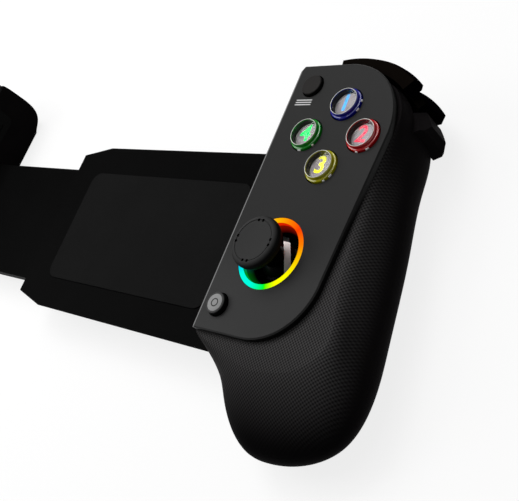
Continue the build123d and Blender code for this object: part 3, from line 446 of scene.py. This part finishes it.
# White of small pieces that stand as painted highlights at the foot of each key
glint_white = moulded("glint_white", grey(248), roughness=0.3, specular=0.5, grain_mm=0.2, grain_depth=0.001)
# Key plates glow as painted light, though they are no lamps
plate_disc = moulded(
    "plate_disc", srgb(150, 144, 148), roughness=0.5, specular=0.1, grain_mm=0.9, grain_depth=0.002,
    colour_spread=0.2, glow=0.45,
)

KEY_COLOURS = {
    "top": (srgb(10, 18, 158), srgb(42, 168, 255)),
    "right": (srgb(208, 6, 18), srgb(255, 66, 92)),
    "bottom": (srgb(190, 186, 8), srgb(255, 255, 50)),
    "left": (srgb(4, 152, 28), srgb(8, 255, 106)),
}
LINER_SHARE = 0.03
key_bodies = {}
key_marks = {}
key_liners = {}
for key, (body_colour, mark_colour) in KEY_COLOURS.items():
    key_bodies[key] = coloured_acrylic(f"key_body_{key}", body_colour)
    # Numerals glow as painted light, though they are no lamps
    key_marks[key] = moulded(
        f"key_mark_{key}", mark_colour, roughness=0.5, specular=0.1, grain_mm=0.3, grain_depth=0.001,
        glow=0.75,
    )
    key_liners[key] = moulded(
        f"key_liner_{key}", scaled(body_colour, LINER_SHARE), roughness=0.2, specular=0.2, grain_mm=1.5,
        grain_depth=0.001,
    )

# Light of the ring: pure hues, 15 degrees apart on the colour wheel from scarlet to yellow
SCARLET = (255, 64, 0)
ORANGE = (255, 128, 0)
AMBER = (255, 191, 0)
YELLOW = (255, 255, 0)
GREEN = (0, 255, 0)
TURQUOISE = (0, 255, 225)
BLUE = (0, 120, 255)
VIOLET = (120, 60, 250)
ROSE = (240, 70, 150)

# Deep shades of the wall inside the ring: a dimmer glow, whose change in brightness round the ring is painted
# shade
DEEP_RED = (215, 30, 0)
DARK_RED = (95, 10, 0)
OLIVE = (45, 45, 0)
DEEP_GREEN = (0, 140, 30)
NAVY = (0, 50, 150)
INDIGO = (60, 15, 150)
PLUM = (150, 15, 80)

# Where each colour stands, in degrees anticlockwise from the right grip's outward side
RING_STOPS = (
    (0, AMBER), (20, ORANGE), (50, SCARLET), (75, ORANGE), (105, AMBER), (135, ROSE), (160, VIOLET),
    (190, BLUE), (225, TURQUOISE), (255, TURQUOISE), (285, GREEN), (305, YELLOW), (325, YELLOW), (360, AMBER),
)
RING_WALL_GLOW_AND_SHADE_STOPS = (
    (0, DARK_RED), (30, DARK_RED), (60, DEEP_RED), (105, DEEP_RED), (135, PLUM), (160, INDIGO), (190, NAVY),
    (225, DEEP_GREEN), (285, DEEP_GREEN), (300, OLIVE), (330, OLIVE), (360, DARK_RED),
)


def ramp_of(material, share, rows):
    ramp = add_node(material, "ShaderNodeValToRGB", {"Fac": share})
    stops = ramp.color_ramp.elements
    while len(stops) < len(rows):
        stops.new(0.5)
    for stop, (angle, colour) in zip(stops, rows):
        stop.position = angle / 360
        stop.color = srgb(*colour)
    return ramp.outputs["Color"]


RING_FADE_DEPTH = 3.4
RING_FADE_LEVEL = 0.3
RING_WALL_MARGIN = 0.02
RING_BAND_MARGIN = 0.05
RING_GRAIN_MM = 0.8


def ring_light(name, centre, top, depth_mm, mirrored):
    """Light guide: a lit flat band whose colour turns with the angle, and a dimmer wall inside it."""
    material, shader = empty_material(name)
    links = material.node_tree.links
    place = place_of(material)
    axes = add_node(material, "ShaderNodeSeparateXYZ", {"Vector": place})
    across = math_node(material, "SUBTRACT", axes.outputs["X"], centre.x)
    if mirrored:
        across = math_node(material, "MULTIPLY", across, -1.0)
    along = math_node(material, "SUBTRACT", axes.outputs["Y"], centre.y)
    turn = math_node(material, "ARCTAN2", along, across)
    turn = math_node(material, "DIVIDE", turn, math.tau)
    turn = math_node(material, "FRACT", turn)
    fall = add_node(material, "ShaderNodeMapRange", {
        "Value": axes.outputs["Z"], "From Min": top - RING_FADE_DEPTH * MM, "From Max": top - depth_mm * MM,
        "To Min": 0.0, "To Max": RING_FADE_LEVEL,
    })
    wall_foot = top - (depth_mm + RING_WALL_MARGIN) * MM
    on_wall = math_node(material, "GREATER_THAN", axes.outputs["Z"], wall_foot)
    lit = math_node(material, "MAXIMUM", fall.outputs["Result"], on_wall)
    # Painted shade: the wall's brightness changes round the ring
    wall = mixed_colour(material, lit, (0.0, 0.0, 0.0, 1.0), ramp_of(material, turn, RING_WALL_GLOW_AND_SHADE_STOPS))
    on_band = math_node(material, "GREATER_THAN", axes.outputs["Z"], top - RING_BAND_MARGIN * MM)
    glow = mixed_colour(material, on_band, wall, ramp_of(material, turn, RING_STOPS))
    links.new(glow, shader.inputs["Emission Color"])
    fine = noise_of(material, place, RING_GRAIN_MM)
    links.new(mixed_colour(material, fine, grey(2), grey(6)), shader.inputs["Base Color"])
    set_shader(shader, Emission_Strength=1.0, Roughness=0.6, Specular_IOR_Level=0.0)
    return material


# Mesh helpers

SHARP_ANGLE = math.radians(34)


def mark_sharp(shape):
    for face in shape.faces:
        face.smooth = True
    for edge in shape.edges:
        if len(edge.link_faces) == 2:
            edge.smooth = edge.calc_face_angle(0) < SHARP_ANGLE


def new_piece(name, shape, material, body):
    mesh = bpy.data.meshes.new(name)
    bmesh.ops.recalc_face_normals(shape, faces=shape.faces)
    mark_sharp(shape)
    shape.to_mesh(mesh)
    shape.free()
    mesh.materials.append(material)
    piece = bpy.data.objects.new(name, mesh)
    bpy.context.scene.collection.objects.link(piece)
    if body is not None:
        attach(piece, body)
    return piece


def skin(shape, rings, caps=True):
    """Faces between closed rings of vertices, with a cap on each end."""
    for before, after in zip(rings, rings[1:]):
        for point in range(len(before)):
            beside = (point + 1) % len(before)
            shape.faces.new((before[point], before[beside], after[beside], after[point]))
    if caps:
        shape.faces.new(rings[0][::-1])
        shape.faces.new(rings[-1])


def lathe(name, profile, centre, material, body, steps=96, shift=None):
    """Turns (radius, height) points in mm round a vertical axis; a radius of 0 closes on the axis."""
    shape = bmesh.new()
    rings = []
    for level, (radius, height) in enumerate(profile):
        if radius <= 0:
            rings.append([shape.verts.new((centre.x, centre.y, height * MM))])
            continue
        ring = []
        for step in range(steps):
            angle = math.tau * step / steps
            reach, rise = radius, height
            if shift is not None:
                reach, rise = shift(level, angle, radius, height)
            ring.append(shape.verts.new((
                centre.x + reach * MM * math.cos(angle),
                centre.y + reach * MM * math.sin(angle),
                rise * MM,
            )))
        rings.append(ring)
    for low, high in zip(rings, rings[1:]):
        for step in range(steps):
            after = (step + 1) % steps
            if len(low) == 1 and len(high) == 1:
                break
            if len(low) == 1:
                shape.faces.new((low[0], high[after], high[step]))
            elif len(high) == 1:
                shape.faces.new((low[step], low[after], high[0]))
            else:
                shape.faces.new((low[step], low[after], high[after], high[step]))
    return new_piece(name, shape, material, body)


ARC_STEPS = 24


def arcs(name, profile, centre, spans, material, body, places=((0, 0),)):
    """Sweeps closed (radius, height) sections in mm through each span (middle, half angle in degrees)."""
    shape = bmesh.new()
    for place_x, place_y in places:
        for middle, half in spans:
            rings = []
            for step in range(ARC_STEPS + 1):
                angle = math.radians(middle - half + 2 * half * step / ARC_STEPS)
                rings.append([
                    shape.verts.new((
                        centre.x + (place_x + reach * math.cos(angle)) * MM,
                        centre.y + (place_y + reach * math.sin(angle)) * MM,
                        rise * MM,
                    ))
                    for reach, rise in profile
                ])
            skin(shape, rings, caps=half < 180)
    if max(half for middle, half in spans) >= 180:
        bmesh.ops.remove_doubles(shape, verts=shape.verts, dist=MERGE_DISTANCE)
    return new_piece(name, shape, material, body)


BAR_END_STEPS = 8


def flat_bars(name, bars, centre, height, thickness, material, body):
    """Printed bars, each (x, y, length, width) in mm about centre, with rounded ends."""
    shape = bmesh.new()
    for x, y, length, width in bars:
        outline = []
        for end in (1, -1):
            for step in range(BAR_END_STEPS + 1):
                angle = math.pi * step / BAR_END_STEPS - math.pi / 2
                outline.append((
                    x + end * (length / 2 - width / 2 + width / 2 * math.cos(angle)),
                    y + end * width / 2 * math.sin(angle),
                ))
        low = [shape.verts.new((centre.x + px * MM, centre.y + py * MM, height * MM)) for px, py in outline]
        high = [shape.verts.new((v.co.x, v.co.y, (height + thickness) * MM)) for v in low]
        skin(shape, (low, high))
    return new_piece(name, shape, material, body)


NUMERAL_WEIGHT = 0.012
NUMERAL_CURVE_STEPS = 6


def text_piece(name, words, centre, height, size, thickness, material, body):
    curve = bpy.data.curves.new(name, "FONT")
    curve.body = words
    curve.size = size
    curve.align_x = "CENTER"
    curve.align_y = "CENTER"
    curve.extrude = thickness / 2
    curve.offset = size * NUMERAL_WEIGHT
    curve.resolution_u = NUMERAL_CURVE_STEPS
    holder = bpy.data.objects.new(name + "_curve", curve)
    bpy.context.scene.collection.objects.link(holder)
    bpy.context.view_layer.update()
    mesh = bpy.data.meshes.new_from_object(holder)
    bpy.data.objects.remove(holder)
    mesh.name = name
    mesh.materials.clear()
    mesh.materials.append(material)
    middle = [(min(v.co[i] for v in mesh.vertices) + max(v.co[i] for v in mesh.vertices)) / 2 for i in (0, 1)]
    mesh.transform(Matrix.Translation((centre.x - middle[0], centre.y - middle[1], height + thickness / 2)))
    piece = bpy.data.objects.new(name, mesh)
    bpy.context.scene.collection.objects.link(piece)
    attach(piece, body)
    return piece


def middle_of(node):
    low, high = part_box(node)
    return (low + high) / 2


# Materials of the CAD nodes

NODE_MATERIALS = {
    "front_shell": shell_black,
    "back_shell": shell_black,
    "faceplate": plate_grey,
    "clamp_pad": soft_black,
    "board": board_green,
    "button_mat": inner_white,
    "shell_screws": steel,
    "stick_module": well_black_and_painted_reflection,
    "stick_yoke": well_black_and_painted_reflection,
    "stick_rocker": steel,
    "stick_stem": well_black_and_painted_reflection,
    "bumper": gloss_black,
    "bumper_pin": dark_steel,
    "trigger": gloss_black,
    "trigger_pin": dark_steel,
    "trigger_spring": dark_steel,
    "start_button": button_black,
    "home_button": button_grey,
    "select_button": button_black,
    "capture_button": button_grey,
    "direction_pad": button_black,
    "direction_pad_pivot": inner_white,
    "battery": cell_silver,
    "charge_port": steel,
    "bridge_front_cover": bridge_black,
    "bridge_back_cover": bridge_black,
    "bridge_tongue": bridge_black,
    "bridge_screws": steel,
    "phone_rest": soft_black,
    "return_springs": steel,
    "link_cable": ribbon_amber,
}


def dress(node, material):
    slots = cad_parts[node].data.materials
    if len(slots):
        for slot in range(len(slots)):
            slots[slot] = material
    else:
        slots.append(material)


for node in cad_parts:
    plain = node
    for side in SIDES:
        if node.startswith(side + "_") and node[len(side) + 1:] in NODE_MATERIALS:
            plain = node[len(side) + 1:]
    if plain in NODE_MATERIALS:
        dress(node, NODE_MATERIALS[plain])

RING_WALL_HEIGHT = 1.3

for side in SIDES:
    low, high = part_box(f"{side}_light_ring")
    ring_material = ring_light(
        f"{side}_ring_light", middle_of(f"{side}_light_ring"), high.z, RING_WALL_HEIGHT,
        mirrored=side == "left",
    )
    dress(f"{side}_light_ring", ring_material)


# Face keys: coloured body with a flange, dark lined pit, grey plate with a numeral at its foot, clear
# domed cover and bright rim

NUMERALS = {"top": "1", "right": "2", "bottom": "3", "left": "4"}
KEY_FOOT_DEPTH = 1.6
KEY_FLANGE_RADIUS = 4.65
KEY_FLANGE_RISE = 0.62
KEY_NECK = 0.34
KEY_PIT_DEPTH = 2.4
KEY_WALL = 0.15
KEY_LINER_WALL = 0.16
KEY_PLATE_THICKNESS = 0.1
KEY_FILLET_WIDTH = 0.16
KEY_FILLET_RISE = 0.14
KEY_COVER_THICKNESS = 0.22
KEY_COVER_GAP = 0.04
KEY_DOME = 0.3
KEY_RIM = 0.12
NUMERAL_SIZE = 6.9
NUMERAL_LIFT = 0.01
NUMERAL_THICKNESS = 0.05
NUMERAL_SHIFT = (-0.78, 0.83)
# Glints: small white pieces at each key's foot, painted highlights at given angles
GLINT_ANGLES = {"top": (-21, 12), "right": (-52, -89), "bottom": (-31, -56), "left": (-92, -40)}
GLINT_HALF_ANGLES = (5.5, 3.5)
GLINT_RADII = (4.5, 4.9)
GLINT_RISE = 0.4

DOME_STEPS = 10

plate_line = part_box("right_faceplate")[1].z / MM


def dome_line(radius, crown, drop):
    """Points of a shallow dome from its crown on the axis to its edge."""
    shares = [step / DOME_STEPS for step in range(DOME_STEPS + 1)]
    return [(radius * share, crown - drop * share ** 2) for share in shares]


for key in KEYS:
    low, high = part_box(f"{key}_button")
    centre = middle_of(f"{key}_button_lens")
    top = high.z / MM
    outer = (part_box(f"{key}_button_lens")[1].x - centre.x) / MM
    foot = plate_line - KEY_FOOT_DEPTH
    edge = top - KEY_DOME
    pit = top - KEY_PIT_DEPTH
    flange = plate_line + KEY_FLANGE_RISE
    inner = outer - KEY_WALL
    neck = outer + KEY_NECK
    body = f"{key}_key"
    shell = lathe(f"{key}_key_shell", [
        (0, foot), (KEY_FLANGE_RADIUS, foot), (KEY_FLANGE_RADIUS, flange - 0.16),
        (KEY_FLANGE_RADIUS - 0.12, flange), (neck + 0.1, flange + 0.04), (neck, flange + 0.12),
        (neck - 0.04, edge - 0.3), (neck - 0.16, edge - 0.08), (outer + 0.1, edge), (outer, edge - 0.04),
        (inner, edge - 0.3), (inner, pit), (0, pit),
    ], centre, key_bodies[key], body)
    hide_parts(f"{key}_button")
    lathe(f"{key}_key_liner", [
        (inner - KEY_LINER_WALL, pit), (inner, pit), (inner, edge - 0.34), (inner - 0.06, edge - 0.3),
        (inner - KEY_LINER_WALL, edge - 0.36), (inner - KEY_LINER_WALL, pit),
    ], centre, key_liners[key], body)
    inside = inner - KEY_LINER_WALL
    face = pit + KEY_PLATE_THICKNESS
    lathe(f"{key}_key_plate", [(0, pit), (inside, pit), (inside, face), (0, face)], centre, plate_disc, body)
    lathe(f"{key}_key_plate_edge", [
        (inside - KEY_FILLET_WIDTH, face), (inside, face), (inside, face + KEY_FILLET_RISE),
        (inside - KEY_FILLET_WIDTH, face),
    ], centre, rim_white, body)
    numeral_centre = centre + Vector((*NUMERAL_SHIFT, 0)) * MM
    text_piece(
        f"{key}_key_numeral", NUMERALS[key], numeral_centre, (face + NUMERAL_LIFT) * MM,
        NUMERAL_SIZE * MM, NUMERAL_THICKNESS * MM, key_marks[key], body,
    )
    cover_top = dome_line(outer - KEY_COVER_GAP, top, KEY_DOME)
    cover_foot = [(radius, height - KEY_COVER_THICKNESS) for radius, height in cover_top]
    cover = lathe(f"{key}_key_cover", cover_foot + cover_top[::-1], centre, clear_lens, body)
    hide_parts(f"{key}_button_lens")
    lathe(f"{key}_key_rim", [
        (outer - 0.03, edge - 0.05), (outer - 0.02, edge + 0.03), (outer + KEY_RIM * 0.5, edge + 0.05),
        (outer + KEY_RIM, edge + 0.01), (outer + KEY_RIM, edge - 0.06), (outer - 0.03, edge - 0.05),
    ], centre, rim_white, body)
    inner_glint, outer_glint = GLINT_RADII
    glint_profile = [
        (inner_glint, plate_line), (outer_glint, plate_line), (outer_glint, plate_line + GLINT_RISE * 0.6),
        (outer_glint - 0.08, plate_line + GLINT_RISE), (inner_glint, plate_line + GLINT_RISE),
    ]
    spans = list(zip(GLINT_ANGLES[key], GLINT_HALF_ANGLES))
    arcs(f"{key}_key_glints", glint_profile, centre, spans, glint_white, body)


# Thumbstick caps: shallow dish, a fine groove, and a pair of small notches on each side of it

CAP_PROFILE = (
    (0.00, 0.02), (0.60, 0.02), (0.77, 0.00), (0.88, 0.08), (0.955, 0.22), (0.99, 0.40), (1.00, 0.56),
    (0.995, 0.70), (0.975, 0.81), (0.935, 0.90), (0.885, 0.955), (0.84, 0.985), (0.826, 0.990),
    (0.820, 0.992), (0.800, 0.990), (0.788, 0.962), (0.772, 0.960), (0.760, 0.985), (0.735, 0.985),
    (0.725, 0.985), (0.64, 0.972), (0.50, 0.945), (0.32, 0.925), (0.16, 0.915), (0.00, 0.912),
)
NOTCH_FROM, NOTCH_TO = 13, 18
NOTCH_OFFSET = math.radians(7.4)
NOTCH_HALF_ANGLE = math.radians(3.0)
NOTCH_DEPTH = 0.45
CAP_STEPS = 288


def notched(level, angle, radius, height):
    quarter = math.pi / 2
    off = (angle + quarter / 2) % quarter - quarter / 2
    if NOTCH_FROM <= level <= NOTCH_TO and abs(abs(off) - NOTCH_OFFSET) < NOTCH_HALF_ANGLE:
        return radius, height - NOTCH_DEPTH
    return radius, height


for side in SIDES:
    low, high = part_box(f"{side}_stick_cap")
    centre = (low + high) / 2
    radius = (high.x - low.x) / 2 / MM
    foot = low.z / MM
    rise = (high.z - low.z) / MM
    cap = lathe(
        f"{side}_stick_top", [(r * radius, foot + h * rise) for r, h in CAP_PROFILE], centre, cap_black,
        f"{side}_stick", steps=CAP_STEPS, shift=notched,
    )
    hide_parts(f"{side}_stick_cap")


# Home and capture discs with a plain ring and square, and plain marks beside the menu keys

DISC_RADIUS = 2.34
DISC_PROUD = 0.05
DISC_SUNK = 0.08
DISC_SHOULDER = 0.02
DISC_EDGE = 0.06
MARK_SUNK = 0.01
MARK_THICKNESS = 0.04
HOME_MARK = {"radius": 0.85, "width": 0.3, "steps": 64}
CAPTURE_MARK = {"radius": 0.9, "width": 0.35, "steps": 4}


def disc_on(node, body, name):
    low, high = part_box(node)
    centre = (low + high) / 2
    top = high.z / MM
    disc = lathe(f"{name}_disc", [
        (0, top - DISC_SUNK), (DISC_RADIUS, top - DISC_SUNK), (DISC_RADIUS, top + DISC_SHOULDER),
        (DISC_RADIUS - DISC_EDGE, top + DISC_PROUD), (0, top + DISC_PROUD),
    ], centre, disc_grey, body)
    return centre, top + DISC_PROUD - MARK_SUNK


def outline_mark(name, centre, base, body, radius, width, steps):
    crown = base + MARK_THICKNESS
    lathe(name, [
        (radius, base), (radius + width, base), (radius + width, crown), (radius, crown), (radius, base),
    ], centre, disc_mark, body, steps=steps)


centre, base = disc_on("home_button", "home_key", "home")
outline_mark("home_mark", centre, base, "home_key", **HOME_MARK)
centre, base = disc_on("capture_button", "capture_key", "capture")
outline_mark("capture_mark", centre, base, "capture_key", **CAPTURE_MARK)

MARK_SHIFT = (-1.1, -5.1)
MARK_BAR_LENGTH = 5.6
MARK_BAR_WIDTH = 0.32
MARK_PITCH = 0.72
MARK_DOT_CORE = 0.001
MARK_DOT_RADIUS = 0.42
MARK_DOT_PITCH = 1.9
PRINT_THICKNESS = 0.02

start_centre = middle_of("start_button") + Vector((*MARK_SHIFT, 0)) * MM
flat_bars(
    "start_mark",
    [(0, step * MARK_PITCH, MARK_BAR_LENGTH, MARK_BAR_WIDTH) for step in (-1, 0, 1)],
    start_centre, plate_line, PRINT_THICKNESS, print_white, "root",
)
select_centre = middle_of("select_button") + Vector((-MARK_SHIFT[0], MARK_SHIFT[1], 0)) * MM
print_line = plate_line + PRINT_THICKNESS
arcs(
    "select_mark",
    [
        (MARK_DOT_CORE, plate_line), (MARK_DOT_RADIUS, plate_line),
        (MARK_DOT_RADIUS, print_line), (MARK_DOT_CORE, print_line),
    ],
    select_centre, [(0, 180)], print_white, "left_grip",
    places=[(step * MARK_DOT_PITCH, 0) for step in (-1, 0, 1)],
)


# Inside the bridge: wound springs and the flat cable

COIL_RADIUS = 0.95
WIRE_RADIUS = 0.25
COIL_PITCH = 1.6
COIL_STEPS = 14
WIRE_SIDES = 6

low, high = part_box("return_springs")
turns = round((high.x - low.x) / MM / COIL_PITCH)
steps = turns * COIL_STEPS
outside = (COIL_RADIUS + WIRE_RADIUS) * MM
start_x = low.x + WIRE_RADIUS * MM
run = high.x - low.x - 2 * WIRE_RADIUS * MM
axis_height = (low.z + high.z) / 2
shape = bmesh.new()
for axis_y in (low.y + outside, high.y - outside):
    rings = []
    for step in range(steps + 1):
        angle = math.tau * step / COIL_STEPS
        along = start_x + run * step / steps
        ring = []
        for corner in range(WIRE_SIDES):
            around = math.tau * corner / WIRE_SIDES
            reach = (COIL_RADIUS + WIRE_RADIUS * math.cos(around)) * MM
            ring.append(shape.verts.new((
                along + WIRE_RADIUS * MM * math.sin(around),
                axis_y + reach * math.cos(angle),
                axis_height + reach * math.sin(angle),
            )))
        rings.append(ring)
    skin(shape, rings)
springs = new_piece("return_spring_coils", shape, steel, None)
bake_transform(springs)
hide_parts("return_springs")

CABLE_EDGE = 0.12
CABLE_STEPS = 80

low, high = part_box("link_cable")
edge = CABLE_EDGE * MM
section = (
    (low.y + edge, low.z), (high.y - edge, low.z), (high.y, low.z + edge), (high.y, high.z - edge),
    (high.y - edge, high.z), (low.y + edge, high.z), (low.y, high.z - edge), (low.y, low.z + edge),
)
shape = bmesh.new()
rings = []
for step in range(CABLE_STEPS + 1):
    along = low.x + (high.x - low.x) * step / CABLE_STEPS
    rings.append([shape.verts.new((along, across, rise)) for across, rise in section])
skin(shape, rings)
cable = new_piece("link_cable_strip", shape, ribbon_amber, None)
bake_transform(cable)
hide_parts("link_cable")


# Floor, light and camera

FLOOR_HALF = 2.5
FLOOR_DROP = 0.0004
FLOOR_GREY = 120
FLOOR_LIFT = 0.82
FLOOR_NEAR = 0.28
FLOOR_FAR = 1.1
FLOOR_GRAIN_MM = 30.0
FLOOR_SHADE = 0.985
WORLD_LEVEL = 0.2
WORLD_ZENITH = 0.16
WORLD_LOW = 0.05
WORLD_HIGH = 0.45


def seen_share(tree, path):
    """1 for camera, glossy and transmission rays, which see the white background."""
    total = path.outputs["Is Camera Ray"]
    for output in ("Is Glossy Ray", "Is Transmission Ray"):
        adder = tree.nodes.new("ShaderNodeMath")
        adder.operation = "ADD"
        adder.use_clamp = True
        tree.links.new(total, adder.inputs[0])
        tree.links.new(path.outputs[output], adder.inputs[1])
        total = adder.outputs[0]
    return total


def stage_material(name, colour):
    """Pale matt floor that fades to plain white far from the object and is clear from below.

    The lift shows only to the camera and in reflections, so the object's shadow stays.
    """
    material, shader = empty_material(name)
    tree = material.node_tree
    links = tree.links
    place = place_of(material)
    away = add_node(material, "ShaderNodeVectorMath", {0: place}, operation="LENGTH").outputs["Value"]
    far = add_node(material, "ShaderNodeMapRange", {
        "Value": away, "From Min": FLOOR_NEAR, "From Max": FLOOR_FAR,
    }, interpolation_type="SMOOTHSTEP").outputs["Result"]
    fine = noise_of(material, place, FLOOR_GRAIN_MM)
    shades = mixed_colour(material, fine, scaled(colour, FLOOR_SHADE), colour)
    links.new(mixed_colour(material, far, shades, (0.0, 0.0, 0.0, 1.0)), shader.inputs["Base Color"])
    lift = add_node(material, "ShaderNodeMapRange", {
        "Value": far, "To Min": FLOOR_LIFT, "To Max": 1.0,
    }).outputs["Result"]
    seen = seen_share(tree, tree.nodes.new("ShaderNodeLightPath"))
    links.new(math_node(material, "MULTIPLY", seen, lift), shader.inputs["Emission Strength"])
    set_shader(shader, Emission_Color=(1.0, 1.0, 1.0, 1.0), Roughness=0.9, Specular_IOR_Level=0.0)
    below = add_node(material, "ShaderNodeNewGeometry").outputs["Backfacing"]
    clear = add_node(material, "ShaderNodeBsdfTransparent").outputs["BSDF"]
    cover = add_node(material, "ShaderNodeMixShader", {0: below, 1: shader.outputs["BSDF"], 2: clear})
    links.new(cover.outputs["Shader"], tree.nodes["Material Output"].inputs["Surface"])
    return material


floor_mesh = bmesh.new()
bmesh.ops.create_grid(floor_mesh, x_segments=8, y_segments=8, size=FLOOR_HALF)
mesh = bpy.data.meshes.new("floor")
floor_mesh.to_mesh(mesh)
floor_mesh.free()
mesh.materials.append(stage_material("floor_white", grey(FLOOR_GREY)))
floor = bpy.data.objects.new("floor", mesh)
floor.location = (0, 0, cad_low.z - FLOOR_DROP)
bpy.context.scene.collection.objects.link(floor)
floor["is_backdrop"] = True


def lamp_holder(name, lamp, direction, place):
    holder = bpy.data.objects.new(name, lamp)
    holder.location = place
    holder.rotation_mode = "QUATERNION"
    holder.rotation_quaternion = Vector(direction).normalized().to_track_quat("Z", "Y")
    bpy.context.scene.collection.objects.link(holder)
    return holder


def area_light(name, target, direction, distance, size, power):
    lamp = bpy.data.lights.new(name, "AREA")
    lamp.shape = "SQUARE"
    lamp.size = size
    lamp.energy = power
    return lamp_holder(name, lamp, direction, target + Vector(direction).normalized() * distance)


def sun_light(name, direction, strength, angle):
    lamp = bpy.data.lights.new(name, "SUN")
    lamp.energy = strength
    lamp.angle = angle
    return lamp_holder(name, lamp, direction, Vector(direction))


LIGHT_TARGET = Vector((0.1, 0.0, 0.02))
area_light("key_light", LIGHT_TARGET, (-0.40, 0.48, 0.78), distance=0.7, size=0.35, power=2.3)
area_light("side_light", LIGHT_TARGET, (-0.76, -0.08, 0.65), distance=0.5, size=0.25, power=0.75)
sun_light("top_light", (-0.15, 0.3, 0.94), strength=0.6, angle=math.radians(40))

world = bpy.data.worlds.new("studio")
bpy.context.scene.world = world
world.use_nodes = True
tree = world.node_tree
back = tree.nodes["Background"]
back.inputs["Color"].default_value = (1.0, 1.0, 1.0, 1.0)
path = tree.nodes.new("ShaderNodeLightPath")
seen = seen_share(tree, path)
level = tree.nodes.new("ShaderNodeMapRange")
tree.links.new(seen, level.inputs["Value"])
level.inputs["To Min"].default_value = WORLD_LEVEL
level.inputs["To Max"].default_value = 1.0
direction = tree.nodes.new("ShaderNodeTexCoord")
split = tree.nodes.new("ShaderNodeSeparateXYZ")
tree.links.new(direction.outputs["Generated"], split.inputs["Vector"])
ceiling = tree.nodes.new("ShaderNodeMapRange")
ceiling.interpolation_type = "SMOOTHSTEP"
tree.links.new(split.outputs["Z"], ceiling.inputs["Value"])
ceiling.inputs["From Min"].default_value = WORLD_LOW
ceiling.inputs["From Max"].default_value = WORLD_HIGH
ceiling.inputs["To Min"].default_value = 1.0
ceiling.inputs["To Max"].default_value = WORLD_ZENITH
glossy = tree.nodes.new("ShaderNodeMix")
tree.links.new(path.outputs["Is Glossy Ray"], glossy.inputs["Factor"])
tree.links.new(level.outputs["Result"], glossy.inputs["A"])
tree.links.new(ceiling.outputs["Result"], glossy.inputs["B"])
tree.links.new(glossy.outputs["Result"], back.inputs["Strength"])

bpy.context.scene.view_settings.view_transform = "Standard"

CAMERA_PLACE = (0.241889, -0.060348, 0.169830)
CAMERA_TURN = Vector((0.392753, 0.724941, 0.271272))
CAMERA_LENS = 58.77
CAMERA_SENSOR = 36.0
camera_data = bpy.data.cameras.new("camera")
camera_data.sensor_width = CAMERA_SENSOR
camera_data.lens = CAMERA_LENS
camera_data.clip_start = 0.01
camera_data.clip_end = 20.0
camera = bpy.data.objects.new("camera", camera_data)
camera.location = CAMERA_PLACE
camera.rotation_mode = "QUATERNION"
camera.rotation_quaternion = Quaternion(CAMERA_TURN.normalized(), CAMERA_TURN.length)
bpy.context.scene.collection.objects.link(camera)
bpy.context.scene.camera = camera

low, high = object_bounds()
